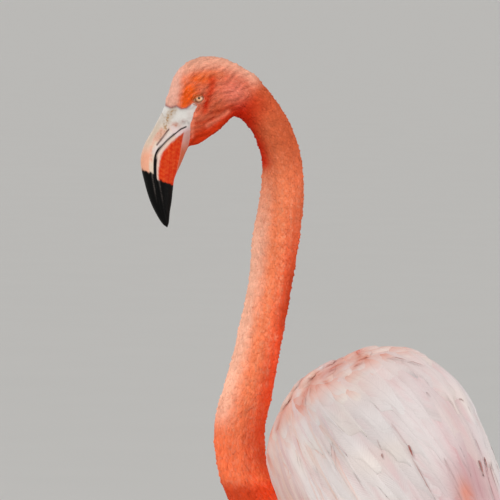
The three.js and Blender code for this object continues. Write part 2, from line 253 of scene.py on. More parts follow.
# %% [markdown]
# ## Colours
# Skin and plumage carry the same markings, so one function gives the colour of every place on the
# bird, and both read it. It could be painted into an image, but a function of the anatomy also
# covers what lies under the feathers. Colours are sRGB hex values, turned to linear light once.

# %% Colour values
def linear(code):
    """A hex sRGB colour as linear red, green and blue."""
    c = np.array([int(code[i:i + 2], 16) / 255 for i in (1, 3, 5)])
    return np.where(c <= 0.04045, c / 12.92, ((c + 0.055) / 1.055) ** 2.4)


hues = {name: linear(code) for name, code in dict(
    crown="#d99c84", forehead="#dfaa98", brow="#df5c14", coral="#c66548", cheek="#ad3a17",
    throat="#bb2f0c", nape="#b81a00", neck_front="#f2bba2", neck_side="#e67d54",
    neck_back="#ee451c", breast="#ea6238", bare="#cbc8c4", shell="#ccc5c4", warm="#dccbbd",
    peach="#d99c80", pink="#c9a1a3", mauve="#bf8f93", rust="#a8452c", rose="#d88470",
    leg="#d98f84", joint="#cf5f57", black="#030303", cream="#cebcaa", tan="#98764f",
    horn_pink="#e29a7c", horn_orange="#b82806", grey="#6a625e", iris="#d6a47c", rim="#74340f",
    lid="#bf7f58", claw="#2a2120").items()}


def mix(a, b, share):
    """Colour a with a share of colour b; both may be one colour or one for each point."""
    share = np.asarray(share, float)[..., None]
    return np.asarray(a) * (1 - share) + np.asarray(b) * share


def washed(colour, *washes):
    """A colour with washes over it: each is a hue, its name or its hex value, and its share."""
    for hue, share in washes:
        if isinstance(hue, str):
            hue = linear(hue) if hue[0] == "#" else hues[hue]
        colour = mix(colour, hue, share)
    return colour


def lit(colour, amount):
    """A colour made brighter or darker by an amount at every point."""
    return colour * amount[..., None]


# %% [markdown]
# Markings are drawn in a plane, most of them in the neck's own, as blobs that fade out from a place
# and strokes that fade out from a line.

# %% Marks in a plane
def near_line(plane, line):
    """Distance from the places of a plane, given as two arrays, to a line of points."""
    a, b = plane
    best = np.full(np.shape(a), 1e9)
    for (ax, ay), (bx, by) in zip(line[:-1], line[1:]):
        dx, dy = bx - ax, by - ay
        t = np.clip(((a - ax) * dx + (b - ay) * dy) / (dx * dx + dy * dy), 0, 1)
        best = np.minimum(best, np.hypot(a - ax - t * dx, b - ay - t * dy))
    return best


def stroke(plane, line, width):
    return np.exp(-(near_line(plane, line) / width) ** 2)


def blob(plane, place, size):
    return np.exp(-(((plane[0] - place[0]) / size[0]) ** 2 + ((plane[1] - place[1]) / size[1]) ** 2))


def hump(value, middle, width):
    return np.exp(-((value - middle) / width) ** 2)


def most(*shares):
    """The largest of several shares at every point."""
    return np.max(np.broadcast_arrays(*shares), axis=0)


def inside(plane, outline):
    """1 for places inside a closed outline, 0 outside."""
    a, b = plane
    hit = np.zeros(np.shape(a), bool)
    for (ax, ay), (bx, by) in zip(outline, outline[1:] + outline[:1]):
        cross = (ay > b) != (by > b)
        hit ^= cross & (a < (bx - ax) * (b - ay) / (by - ay + 1e-12) + ax)
    return hit.astype(float)


# %% [markdown]
# The head is pale at the crown and forehead, vivid orange before and above the eye, and redder on
# the cheek and throat. Bare white skin runs from the eye down to the corner of the mouth. The neck
# is coral with a paler front, partly painted rim light, and a deeper nape; painted shade darkens
# the hollow under the head and bands of its back, and painted light brightens its lower part. The
# body is a pinkish white.

# %% Markings of the head and neck
bare_outline = [(222, 1139.6), (214.1, 1136.4), (207.8, 1137.9), (202.6, 1135.4), (197.5, 1135.7),
                (193.5, 1138.8), (191.3, 1140.5), (188.4, 1142.2), (185.8, 1138.6), (189.6, 1131),
                (190.9, 1125.1), (193.1, 1119.4), (192.9, 1113.8), (193.6, 1103.6), (196.2, 1092),
                (199, 1074), (235, 1074)]
cheek_furrows = ([(187.6, 1120), (178, 1121.5), (169, 1125.5)],
                 [(171, 1131), (160, 1133.5), (149, 1138)])
lore_crease = [(201, 1120), (196.5, 1121.5), (193.5, 1118)]


def strands(points):
    """Wavy locks of the cheeks and crown, which run up and back from the bill: from -1 to 1."""
    reach, out, height = neck_place(points)
    across, along = reach * 0.5 + height * 0.87, height * 0.5 - reach * 0.87
    sway = 1.6 * np.sin(along * 0.27) + 1.2 * np.sin(along * 0.11 + across * 0.13)
    return (np.sin(across * 1.15 + sway) + np.sin(across * 0.62 + 2.0 * np.sin(along * 0.17 + 1))) / 2


def head_colour(points):
    reach, out, height = neck_place(points)
    plane = reach, height
    top = 1190.6 - 0.010 * (reach - 168) ** 2 - np.maximum(reach - 190, 0) * 0.5
    chin = 1094 + (200 - reach) * 0.62
    brow = most(blob((reach + 0.3 * (height - 1148), height), (197, 1149), (8.5, 12)),
                0.6 * blob(plane, (183, 1167), (15, 6)), blob(plane, (201, 1139), (6.5, 5)),
                0.55 * blob(plane, (201, 1163), (5, 9)))
    forehead_edge = reach + 0.15 * (height - 1150) + 1.7 * ripple(points, 7)
    behind_eye = [(170, 1166), (171, 1155), (174.5, 1148), (175.5, 1142), (178, 1133)]
    deep = most(stroke(plane, [(176, 1144), (177, 1138.5)], 1.8),
                stroke(plane, [(179.6, 1149.8), (178.2, 1147)], 1.1))
    lock = most(stroke(plane, [(175, 1117.5), (165, 1124), (154, 1132)], 2.6),
                stroke(plane, [(187.5, 1131), (189.5, 1124), (191, 1117), (191, 1106)], 1.8))
    colour = washed(
        hues["coral"],
        ("crown", soft(height, top - 22, top - 4)),
        ("brow", np.clip(brow * 1.5, 0, 1) * 0.92),
        ("forehead", soft(forehead_edge, 199, 210.5)),
        ("#cf7145", stroke(plane, [(184, 1170), (171, 1173), (160, 1171)], 3.6) * 0.45),
        ("cheek", soft(1150 - 0.55 * (reach - 150) - height, 0, 30) * 0.8),
        ("throat", soft(chin + 17 - height, 0, 16) * 0.95),
        # The hollow where the throat meets the neck: deep red, partly its own colour and partly painted
        # shade.
        ("nape", np.clip(blob(plane, (139, 1128), (15, 14)) * 1.15, 0, 1) * 0.9),
        ("#cf7667", blob(plane, (147, 1155), (15, 13)) * 0.6),
        ("throat", stroke(plane, behind_eye, 4) * 0.8),
        ("#b04420", blob(plane, (165, 1137), (8, 7)) * 0.5),
        ("nape", deep * 0.75),
        ("#c23c04", blob(plane, (195.5, 1147), (6, 6.5)) * 0.5),
        ("#a02a0a", most(stroke(plane, cheek_furrows[0], 2.3),
                         stroke(plane, cheek_furrows[1], 2.4)) * 0.62),
        ("#e8876a", lock * 0.5))
    plain = most(soft(reach, 200, 208), 0.7 * soft(height, top - 18, top - 6))
    return lit(colour, 1 + (0.19 * strands(points) + 0.07 * ripple(points, 5)) * (1 - 0.6 * plain))


def neck_colour(points):
    reach, out, height = neck_place(points)
    plane = reach, height
    upright = neck_stations[:11]
    middle, thick = (np.interp(-height, -upright[:, 1], upright[:, i]) for i in (0, 2))
    front = np.clip((reach - middle) / (thick / 2), -1.2, 1.2)  # -1 at the nape, 1 at the throat
    # The front is paler: partly its own colour and partly painted rim light.
    pale_and_rimlit_front = soft(front + 0.12 * ripple(points, 13), 0.05, 0.85) * soft(height, 790, 818)
    blotch = soft(ripple(points, 9), 0.1, 0.7) * soft(1.05 - np.abs(front), 0, 0.5)
    # The hollow under the head and a band below it: deep red, partly its own colour and partly painted
    # shade.
    shade = most(blob(plane, (134, 1118), (13, 20)),
                 stroke(plane, [(129, 1110), (121, 1094), (116, 1078)], 7.5))
    colour = washed(
        hues["neck_side"],
        ("neck_front", pale_and_rimlit_front * soft(1090 - height, 0, 100) * 0.85),
        ("neck_back", soft(-front, 0.0, 0.95) * (0.2 + 0.65 * soft(1060 - height, 0, 130))),
        ("#f0a27c", blotch * soft(1080 - height, 0, 60) * 0.38),
        ("cheek", soft(front, 0.1, 0.9) * soft(height, 1075, 1110) * 0.7),
        ("#b9502c", soft(height, 1050, 1105) * 0.7),
        ("breast", soft(850 - height, 0, 90) * 0.6),
        # Painted shade: where the neck's foot turns under towards the breast, and in the hollow under
        # the head.
        ("throat", soft(750 - height, 0, 16) * 0.8),
        ("throat", 0.7 * blob(plane, (126, 1139), (15, 14))),
        ("nape", shade * 0.92))
    # Painted light and shade: the lower neck is made brighter, its back side most, and the back darkens
    # in two bands higher up, where the light falls off.
    painted_light = (0.86 + 0.23 * soft(1075 - height, 0, 260)
            + 0.36 * soft(-front, 0.1, 0.9) * soft(862 - height, 0, 50)
            + 0.08 * soft(800 - height, 0, 40) * soft(height, 740, 752))
    nape_painted_shade = 0.36 * hump(height, 940, 55) + 0.16 * hump(height, 1040, 40)
    painted_light = painted_light * (1 - 1.25 * nape_painted_shade * soft(-front, 0.35, 1.0)) + 0.08 * shade
    return lit(colour, painted_light * (1 + 0.09 * ripple(points, 8) + 0.06 * ripple(points, 17)))


# %% Markings of the body
# Where coral down shows between the shoulder's feathers, as lines in the neck's plane: a darker rust,
# partly the down's colour and partly painted shade in those hollows.
hollows = [[(36, 879), (45, 874), (53, 869), (61, 865), (69, 857), (75, 845), (78, 833)],
           [(20, 891), (18, 883), (24, 876)], [(11, 886), (18, 882)], [(52, 858), (58, 865)],
           [(93, 832), (99, 820), (103, 806)]]


def lanes(points):
    """The lanes that the back's long feathers lie in: from -1 in a furrow to 1 on a crest."""
    along, side, back = body_place(points)
    round_it = np.arctan2(side / plumage["side"], back / plumage["back"]) * 115
    sway = 1.5 * np.sin(along * 0.017 + round_it * 0.03) + 0.6 * np.sin(along * 0.05)
    return (np.sin(round_it * 0.25 + sway) * 0.5 + np.sin(round_it * 0.47 - sway + 1) * 0.3
            + np.sin(round_it * 0.9 + sway * 1.7 + along * 0.01) * 0.2)


def body_colour(points):
    along, side, back = body_place(points)
    plane = neck_place(points)[::2]
    furrow = soft(-lanes(points), 0.0, 0.75)
    near_side = soft(-side, 5, 18)
    shoulder = soft(-62 - along + np.maximum(back, 0) * 0.1, -18, 45) * (1 - 0.7 * soft(-back, -25, 30))
    coral_edge = soft(-along, 72, 100) * soft(back, 0, 40) * soft(-side, 0, 30)
    pale = most(blob(plane, (58, 873), (5, 3.5)),
                stroke(plane, [(81, 849), (82, 838), (84, 830)], 2.6))
    hollow = most(*(stroke(plane, line, 2.5) for line in hollows)) * soft(-along, 40, 60)
    tips = most(stroke(plane, [(111, 792), (110, 770), (105, 748)], 3.4),
                stroke(plane, [(-112, 796), (-118, 778), (-122, 764)], 2.6))
    colour = washed(
        hues["shell"],
        ("warm", soft(ripple(points, 90), 0.0, 0.9) * 0.35),
        ("peach", shoulder * (0.24 + 0.42 * soft(ripple(points, 26), -0.3, 0.6))),
        ("#dd8d70", coral_edge * (0.30 + 0.25 * ripple(points, 21))),
        ("#b8583a", hollow * near_side * 0.75),
        ("shell", pale * near_side * 0.8),
        ("#cf4418", blob(plane, (19.5, 890), (4, 3)) * near_side * 0.8),
        (hues["shell"] * 1.06, tips * 0.7))
    # Painted light: the lower flank and the middle of the near side are made brighter, where the lamps
    # leave them in shade.
    flank = soft(-side, 60, 88) * soft(along, -100, -60) * soft(66 - back, 0, 50)
    middle = soft(-side, 58, 78) * soft(along, -10, 25) * soft(back, 35, 50) * soft(96 - back, 0, 20)
    low_band = soft(-back, -6, 16) * soft(-side, 50, 80) * soft(along, -110, -70)
    ridge = soft(40 - np.abs(side + 8), 0, 45) * soft(along, -60, 60) * soft(back, 0, 60)
    rear = blob((side, along), (-17, 120), (27, 34)) * (back > 0)
    glow = blob((side, along), (-26, 125), (6.5, 14)) * (back > 0)
    colour = washed(
        lit(colour, (1 + 0.26 * flank * soft(back, -25, 5)) * (1 + 0.11 * middle)),
        ("peach", 0.2 * soft(back, 95, 125) * soft(-along, -10, 40) * (0.6 + 0.4 * furrow)),
        ("peach", low_band * (0.35 + 0.3 * furrow) + flank * 0.12 * furrow),
        ("pink", ridge * (0.32 + 0.5 * furrow)))
    # The furrows between the lanes are mauve and pink: partly the feathers' own tint and partly painted
    # shade.
    colour = washed(
        lit(colour, 1 - 0.12 * ridge),
        ("mauve", furrow * soft(along, 30, 150) * 0.6),
        ("pink", furrow * 0.25),
        ("mauve", rear * (0.75 + 0.25 * furrow)))
    return washed(
        lit(colour, 1 - 0.20 * rear),
        ("#c87252", glow * 0.85),
        ("rose", soft(-back, 20, 85) * 0.55),
        ("breast", soft(-along - back * 0.6, 95, 165) * soft(-back, -10, 30) * 0.85),
        ("pink", soft(along, 170, 290) * 0.3))


# %% Markings round the mouth
gape = [(210.8, 1107.6), (203.2, 1113.8), (197.6, 1116.4)]  # the mouth's corner, in the skin
mouth_path = gape[:0:-1] + [tuple(p) for p in smooth_line(mouth_line, np.linspace(0.02, 1, 40))]
mouth_level = [197, 203.2, 210.8], [1117, 1113.8, 1107.6]
strip_edge = ([1062, 1075, 1085.3, 1096.8, 1109.4, 1114], [208.5, 206, 203.8, 202.1, 199.8, 198.3])


def from_lip(plane):
    """Distance from the edge of the mouth's dark line, thin at the corner and broad at the bend."""
    return near_line(plane, mouth_path) - (0.92 + 0.78 * soft(1112 - plane[1], 0, 32))


def mandible_colour(colour, points):
    """Adds the lower bill's orange to a pale colour, between the lip's rim and the chin's strip."""
    reach, out, height = neck_place(points)
    lip = from_lip((reach, height))
    rim_end = 1.0 + 1.9 * soft(height, 1062, 1084)
    below = soft(lip + 0.4 * ripple(points, 5), rim_end - 0.6, rim_end + 1.5)
    mottle = np.clip(0.14 + 0.22 * ripple(points, 6) + 0.16 * ripple(points, 2.7), 0, 1)
    orange = washed(hues["horn_orange"], ("#e0682f", mottle),
                    ("#9a4020", soft(height, 1097, 1110) * 0.6))
    in_strip = soft(reach - np.interp(height, *strip_edge), -0.5, 0.9)
    chin = (1 - in_strip) * soft(lip, 2, 5)
    return washed(colour, ("#a8725f", chin * 0.5),
                  ("#ad4f2a", chin * soft(1110 - height, 0, 24) * 0.9), (orange, below * in_strip))


def lore_colour(points):
    """Bare skin between the eye and the bill: white, with grey creases, a painted shadow under the
    forehead's edge and a pinker rear edge.
    """
    reach, out, height = neck_place(points)
    plane = reach, height
    speckle = stroke(plane, [(218, 1121), (214, 1130), (211, 1135)], 3.9)
    ruddy = blob(plane, (208.5, 1118.6), (5, 2.8)) * (0.7 + 0.3 * ripple(points, 4))
    greyer = most(blob(plane, (200, 1122), (4.5, 2.6)) * (0.7 + 0.3 * ripple(points, 3.6)),
                  0.9 * blob(plane, (188, 1139.5), (3.2, 3.2)), 0.3 * soft(-reach, -199, -194))
    # The lore's grey crease, and a painted shadow along the forehead's feathered edge above the lore.
    crease = most(stroke(plane, lore_crease, 1.5),
                  0.6 * stroke(plane, [(206, 1134.6), (198, 1133), (190, 1137)], 1.3))
    colour = washed(
        hues["bare"],
        ("pink", soft(1121 - height, 0, 9) * 0.45),
        ("mauve", soft(-reach, -203, -196) * soft(1117 - height, 0, 6) * 0.5),
        ("tan", speckle * (0.55 + 0.45 * soft(ripple(points, 4.5), -0.2, 0.5))),
        ("#ad7460", np.clip(ruddy * 1.15, 0, 1)),
        ("#94716c", greyer * 0.75),
        ("grey", crease * (0.55 + 0.45 * ripple(points, 5)) * 0.5))
    under_mouth = height < np.interp(reach, *mouth_level)
    lower = mandible_colour(mix(colour, hues["mauve"], 0.12), points)
    colour = np.where(under_mouth[..., None], lower, colour)
    return mix(colour, hues["black"], np.exp(-(near_line(plane, gape) / 0.8) ** 4))


# %% The whole bird's colour
def bare_skin(reach, height):
    """1 on the bare skin between the eye and the bill."""
    return inside((reach, height), bare_outline) * (reach > 170) * (height > lore_above)


def neck_distance(points):
    """How far points in metres are from the neck's middle line, in millimetres."""
    reach, out, height = neck_place(points)
    sunk = np.interp(-height, -neck_stations[:, 1], neck_stations[:, 4]) * (reach < 135)
    return np.hypot(near_line((reach, height), neck_stations[:, :2]), out + sunk)


def bird_colour(points):
    """The plumage's colour at points of the bird, in metres."""
    reach, out, height = neck_place(points)
    near_head = soft(reach + (height - 1120) * 0.35, 128, 146) * (height > head_above)
    on_body = soft(neck_distance(points), 31, 50) * (height < body_below)
    # A painted shadow under the forehead's feathers, along the top of the bare skin.
    edge = stroke((reach, height), bare_outline[:6], 1.3) * (reach < 221) * (height > 1085)
    return washed(neck_colour(points), (head_colour(points), near_head), (body_colour(points), on_body),
                  (lore_colour(points), bare_skin(reach, height)), ("#75484c", edge * 0.75))


# %% [markdown]
# ## Materials
# One helper adds a node, sets it up and links it. Every material takes its colour from the mesh's
# `tint` attribute, so that markings are shared, and adds what its own surface does to light.

# %% Material helpers
def node(tree, kind, inputs=None, **settings):
    """Adds a node of a kind with its settings; inputs are values, or sockets to link from."""
    made = tree.nodes.new("ShaderNode" + kind)
    for name, value in settings.items():
        setattr(made, name, value)
    for name, value in (inputs or {}).items():
        if isinstance(value, bpy.types.NodeSocket):
            tree.links.new(value, made.inputs[name])
        else:
            made.inputs[name].default_value = value
    return made


def computed(tree, operation, *values):
    return node(tree, "Math", dict(enumerate(values)), operation=operation).outputs["Value"]


def ranged(tree, value, from_min, from_max, to_min, to_max):
    return node(tree, "MapRange", {"Value": value, "From Min": from_min, "From Max": from_max,
                                   "To Min": to_min, "To Max": to_max}).outputs["Result"]


def finish_material(name, roughness, uneven, grain, bump, detail=None, **surface):
    """A surface that is the mesh's tint, a little uneven, with grain of a size in millimetres."""
    material = bpy.data.materials.new(name)
    material.use_nodes = True
    tree = material.node_tree
    tree.nodes.clear()
    place = node(tree, "TexCoord").outputs["Object"]
    tint = node(tree, "Attribute", attribute_name="tint").outputs["Color"]
    fine, broad = (
        node(tree, "TexNoise", {"Vector": place, "Scale": 1 / (size * MM), **more}).outputs["Fac"]
        for size, more in ((grain, {"Detail": 4.0, "Roughness": 0.6}), (grain * 9, {"Detail": 2.0})))
    shade = ranged(tree, computed(tree, "ADD", fine, broad), 0.7, 1.3, 1 - uneven, 1 + uneven)
    height = fine
    if detail is not None:
        shade, height = detail(tree, shade, fine)
    colour = node(tree, "VectorMath", {0: tint, "Scale": shade}, operation="SCALE").outputs["Vector"]
    rough = ranged(tree, fine, 0.3, 0.7, roughness - 0.08, roughness + 0.08)
    normal = node(tree, "Bump", {"Height": height, "Strength": bump, "Distance": grain * 0.3 * MM})
    shader = node(tree, "BsdfPrincipled", {"Base Color": colour, "Roughness": rough,
                                           "Normal": normal.outputs["Normal"], **surface})
    node(tree, "OutputMaterial", {"Surface": shader.outputs["BSDF"]})
    return material


def barbs(tree, shade, fine):
    """A vane's barbs: fine slanting lines either side of the shaft, from the feather's own map."""
    vane = node(tree, "UVMap", uv_map="vane").outputs["UV"]
    parts = node(tree, "SeparateXYZ", {"Vector": vane}).outputs
    off = computed(tree, "ABSOLUTE", computed(tree, "SUBTRACT", parts["X"], 0.5))
    slant = computed(tree, "MULTIPLY_ADD", off, 0.55, parts["Y"])
    slant = computed(tree, "MULTIPLY_ADD", fine, 0.02, slant)
    lines = computed(tree, "SINE", computed(tree, "MULTIPLY", slant, 180.0))
    shaft = ranged(tree, off, 0.0, 0.035, 1.0, 0.0)
    lined = computed(tree, "MULTIPLY", shade, ranged(tree, lines, -1.0, 1.0, 0.983, 1.012))
    return (computed(tree, "MULTIPLY_ADD", shaft, -0.07, lined),
            computed(tree, "MULTIPLY_ADD", shaft, 3.0, lines))


# Contour feathers: keratin vanes whose barbs hook together into a matt, faintly silky sheet.
vane_mat = finish_material("feather vane", 0.62, 0.035, 2.0, 0.12, barbs,
                           **{"Sheen Weight": 0.08, "Sheen Roughness": 0.5, "Specular IOR Level": 0.25})
# Short soft plumage of the head and neck: loose barbs with no gloss.
soft_mat = finish_material("soft plumage", 0.8, 0.08, 2.2, 0.2, **{"Specular IOR Level": 0.06})
# Skin under the plumage and round the eye: fine creases, with a dull shine where it is bare.
skin_mat = finish_material("bare skin", 0.6, 0.06, 1.2, 0.35, **{"Specular IOR Level": 0.12})
# The bill: keratin horn polished by feeding, satin, with faint growth lines.
horn_mat = finish_material("bill horn", 0.5, 0.08, 1.6, 0.2, **{"Specular IOR Level": 0.08, "IOR": 1.5})
# Leg skin: dry horny scales, dull, greyer in the grooves between them.
leg_mat = finish_material("scaly leg skin", 0.58, 0.10, 1.8, 0.45, **{"Specular IOR Level": 0.4})
# The eye: a wet cornea over the iris, so it has one sharp highlight.
eye_mat = finish_material("wet eye", 0.12, 0.08, 0.5, 0.0,
                          **{"Coat Weight": 0.5, "Coat Roughness": 0.02, "IOR": 1.38})
# Claws: dark worn horn.
claw_mat = finish_material("claw horn", 0.4, 0.1, 1.0, 0.2, **{"IOR": 1.54})
print("materials", sorted(m.name for m in bpy.data.materials if m.users == 0))

# %% [markdown]
# ## The skin
# Under the plumage the bird is one continuous skin. It could be modelled from new spheres and
# tubes, but the solids already have the true outline: copies of them are joined and remeshed into
# one closed surface, which is smoothed and drawn in by the depth of the coat.

# %% Helpers for meshes and pieces
def opened(*meshes):
    """A bmesh that holds the meshes."""
    shape = bmesh.new()
    for mesh in meshes:
        shape.from_mesh(mesh)
    return shape


def written(shape, mesh):
    """Writes a bmesh to a mesh, or to a new mesh of that name, and lets the bmesh go."""
    if isinstance(mesh, str):
        mesh = bpy.data.meshes.new(mesh)
    shape.to_mesh(mesh)
    shape.free()
    return mesh


def vectors(items, key):
    flat = np.empty(len(items) * 3, np.float32)
    items.foreach_get(key, flat)
    return flat.reshape(-1, 3)


def points_of(mesh):
    return vectors(mesh.vertices, "co").astype(float)


def normals_of(mesh):
    return vectors(mesh.vertex_normals, "vector")


def move_points(mesh, points):
    mesh.vertices.foreach_set("co", np.asarray(points, np.float32).ravel())
    mesh.update()


def set_tint(mesh, colours):
    """Writes a linear colour for each vertex; the materials read it as `tint`."""
    rgba = np.ones((len(mesh.vertices), 4), np.float32)
    rgba[:, :3] = np.clip(colours, 0, 1)
    layer = mesh.attributes.get("tint") or mesh.attributes.new("tint", "FLOAT_COLOR", "POINT")
    layer.data.foreach_set("color", rgba.ravel())


def new_object(name, data):
    made = bpy.data.objects.new(name, data)
    bpy.context.scene.collection.objects.link(made)
    return made


def add_piece(name, mesh, material, replaced=()):
    """A finished piece: it rides on the one body and stands for the solids it replaces."""
    piece = new_object(name, mesh)
    mesh.materials.clear()
    mesh.materials.append(material)
    mesh.polygons.foreach_set("use_smooth", [True] * len(mesh.polygons))
    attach(piece, "root")
    if replaced:
        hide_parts(*replaced)
    print(name, sum(len(p.vertices) - 2 for p in mesh.polygons), "triangles")


def turned_out(mesh):
    """The mesh with its faces pointing outwards."""
    shape = opened(mesh)
    bmesh.ops.recalc_face_normals(shape, faces=shape.faces)
    return written(shape, mesh)


def round_form(name, surface, rings, around):
    """A closed form on a surface: a sphere whose points are moved to their x and angle."""
    shape = bmesh.new()
    bmesh.ops.create_uvsphere(shape, u_segments=around, v_segments=rings, radius=1)
    mesh = written(shape, name)
    p = points_of(mesh)
    x = np.arccos(np.clip(p[:, 2], -1, 1)) / math.pi
    move_points(mesh, surface(x, np.arctan2(p[:, 0], p[:, 1])))
    mesh.attributes.new("along", "FLOAT", "POINT").data.foreach_set("value", x)
    return turned_out(mesh)


# %% [markdown]
# ## The bill's two halves
# A flamingo's bill is two horn shells that bend down in the middle. Each is a form between two
# profile lines: a sphere's rings are laid along the bill, round outside and flat where the halves
# meet. The base runs on a little way inside the head, where the skin will cover it.

# %% Two halves of the bill
def bill_surface(upper, lower, round_side):
    shell = lofted(upper, lower, bill_widths, mandible_profile(round_side))
    inward = unit(neck_point(200.0, 0.0, 1137.0) - neck_point(215.0, 0.0, 1121.0))
    centre = row_frame(sum(neck_point(line[0][0], 0.0, line[0][1]) for line in (upper, lower)) / 2)

    def surface(x, angle):
        y = (x - bill_root) / (1 - bill_root)
        p = shell(np.maximum(y, 0), angle)
        inner = np.clip(-y / 0.0526, 0, 1)[..., None]
        sunk = soft(-y, -0.075, -0.03)[..., None]
        p = centre + (p - centre) * (1 - 0.03 * sunk - 0.2 * inner - 0.75 * inner**6)
        return p + (inward * 7 * MM) * inner
    return surface


nostril = [(215.8, 1113.6), (222, 1105.3), (228.2, 1097.3)]
lower_mouth = [(r + 0.15, h) for r, h in mouth_line]  # the halves overlap, so no gap shows
upper_bill, lower_bill = (round_form(name, bill_surface(*lines), 300, 120) for name, lines in
                          (("upper_bill", (ridge_line, mouth_line, 1)),
                           ("lower_bill", (lower_mouth, keel_line, -1))))
shape = opened(upper_bill, lower_bill)
bill_tree = BVHTree.FromBMesh(shape)
shape.free()
print("bill", len(upper_bill.vertices) + len(lower_bill.vertices), "points")


# %% One skin from the solids of flesh
flesh = ["trunk", "wing_left", "wing_right", "neck_upper", "neck_middle", "neck_lower", "head",
         "thigh_left", "thigh_right"]
shared = ["eye_left", "eye_right", "bill_upper", "bill_lower"]
voxel = 2.6 * MM


def with_modifier(mesh, kind, **settings):
    """The mesh as a modifier leaves it."""
    holder = new_object("holder", mesh)
    modifier = holder.modifiers.new(kind, kind)
    for key, value in settings.items():
        setattr(modifier, key, value)
    bpy.context.view_layer.update()
    changed = holder.evaluated_get(bpy.context.evaluated_depsgraph_get())
    result = bpy.data.meshes.new_from_object(changed)
    bpy.data.objects.remove(holder)
    return result


def coat_depth(points):
    """How far the skin lies inside the solids, in millimetres: deep on the body, shallow on the
    face, and less where a crest or a shoulder stands out."""
    reach, out, height = neck_place(points)
    along, side, back = body_place(points)
    plane, plan = (reach, height), (along, side)
    on_body = soft(neck_distance(points), 32, 42) * (height < body_below)
    upper = soft(back, 0, 60) * soft(along, -120, -60)
    shoulder = hump(along, -112, 26) * soft(np.abs(side), 22, 42) * (1 - upper)
    crest = hump(side, 28, 26) * soft(along, -112, -84) * soft(-along, -40, -5) * soft(back, 40, 80)
    dip = stroke(plan, [(-126, -21), (-112, -38), (-102, -39)], 11) * soft(back, 40, 60)
    far_edge = stroke(plan, [(45, 62), (91, 33), (120, 8)], 24) * soft(back, 60, 90)
    low_front = blob((along, back), (-98, -45), (22, 28)) * (side < 0)
    depth = 1.2 - 0.7 * ripple(points, 17) * (1 - on_body) + on_body * (
        4.5 - upper * (3.0 + 0.9 * lanes(points)) - 3.4 * shoulder
        - 3.6 * crest + 5.0 * dip - 3.0 * low_front + 3.5 * far_edge)
    depth = np.where(height < thigh_below, 3.5, depth)
    near_head = soft(reach + (height - 1120) * 0.35, 130, 160) * (height > head_above)
    depth = depth * (1 - near_head) + 1.2 * near_head
    depth -= 2.2 * blob(plane, (130, 1168), (11, 10)) + 1.4 * blob(plane, (219, 1143.5), (6, 4.5))
    bare = bare_skin(reach, height)
    return depth * (1 - bare) - 0.3 * bare


shape = opened(*(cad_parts[name].data for name in flesh + shared))
bmesh.ops.remove_doubles(shape, verts=shape.verts, dist=0.00001)
skin = with_modifier(written(shape, "flesh"), "REMESH", mode="VOXEL", voxel_size=voxel)
skin = with_modifier(skin, "SMOOTH", factor=0.5, iterations=4)
move_points(skin, points_of(skin) - normals_of(skin) * (coat_depth(points_of(skin)) * MM)[:, None])
skin = with_modifier(skin, "SMOOTH", factor=0.5, iterations=5)


def past_base(reach, height):
    """How far a place is out along the bill from the head's edge, in millimetres."""
    return (reach - 207.9) * 0.872 - (height - 1116.2) * 0.49


def cut_off_bill(mesh, limit):
    """The skin ends a little way out on the bill, which was only joined to make it run on."""
    reach, out, height = neck_place(points_of(mesh))
    gone = (past_base(reach, height) > limit) & (height < bill_below) & (reach > 190)
    shape = opened(mesh)
    shape.verts.ensure_lookup_table()
    bmesh.ops.delete(shape, geom=[shape.verts[i] for i in np.flatnonzero(gone)], context="VERTS")
    written(shape, mesh)


cut_off_bill(skin, 9.0)
print("skin", len(skin.vertices), "points")


# %% [markdown]
# The head gets the most care. Its part of the skin is subdivided, and round the eye and mouth
# twice, and then pushed and pulled: a brow over the eye, a hollow that the eye sits in, full cheeks,
# the fold behind the jaw and the flat bare lore before the eye. Sculpting by hand would do as well,
# but numbers can be repeated.

# %% The head's folds
def finer(mesh, chosen):
    shape = opened(mesh)
    shape.verts.ensure_lookup_table()
    edges = [e for e in shape.edges if chosen[e.verts[0].index] and chosen[e.verts[1].index]]
    bmesh.ops.subdivide_edges(shape, edges=edges, cuts=1, use_grid_fill=True, smooth=0.6)
    written(shape, mesh)


for from_reach, low, high in ((158, 1085, 1185), (183, 1088, 1147)):
    reach, out, height = neck_place(points_of(skin))
    finer(skin, (reach > from_reach) & (height > low) & (height < high))
reach, out, height = neck_place(points_of(skin))
plane = reach, height
from_eye = np.hypot((reach - eye_reach) / 7.2, (height - eye_height) / 5.6)
swell = 0.3 * strands(points_of(skin)) * soft(208 - reach, 0, 8) - 1.9 * np.exp(-from_eye**4)
for place, size, rise in (((160, 1148), (15, 14), 1.5), ((172, 1132), (15, 8), 1.0),  # cheeks
                          ((186, 1154.5), (10, 3.2), 0.9), ((199, 1158), (9, 9), 0.6),  # brow
                          ((178, 1141), (3.2, 6), -0.7), ((199, 1126), (9, 10), -0.8)):
    swell += rise * blob(plane, place, size)
for line, width, rise in ((cheek_furrows[0], 2.6, -0.9), (cheek_furrows[1], 2.6, -0.9),
                          (gape, 0.8, -0.9), (lore_crease, 1.2, -0.5),
                          ([(192.5, 1117), (193.5, 1106)], 2.5, 0.6)):
    swell += rise * stroke(plane, line, width)
on_side = ((height > 1085) & (reach > 125)) * soft(np.abs(out), 8, 16)
outward = neck_across[None] * np.sign(out)[:, None]
moved = points_of(skin) + outward * (swell * on_side * MM)[:, None]
beyond = past_base(reach, height)
for i in np.flatnonzero((beyond > -2.5) & (reach > 185) & (height > 1088) & (height < 1137)):
    spot, normal = bill_tree.find_nearest(Vector(moved[i]))[:2]  # the skin closes on the bill's horn
    share, cover = float(soft(beyond[i], -2.5, 2.0)), 0.5 - 0.42 * float(soft(beyond[i], 2.0, 6.0))
    moved[i] = moved[i] * (1 - share) + np.array(spot + normal * cover * MM) * share
move_points(skin, moved)
cut_off_bill(skin, 6.0)

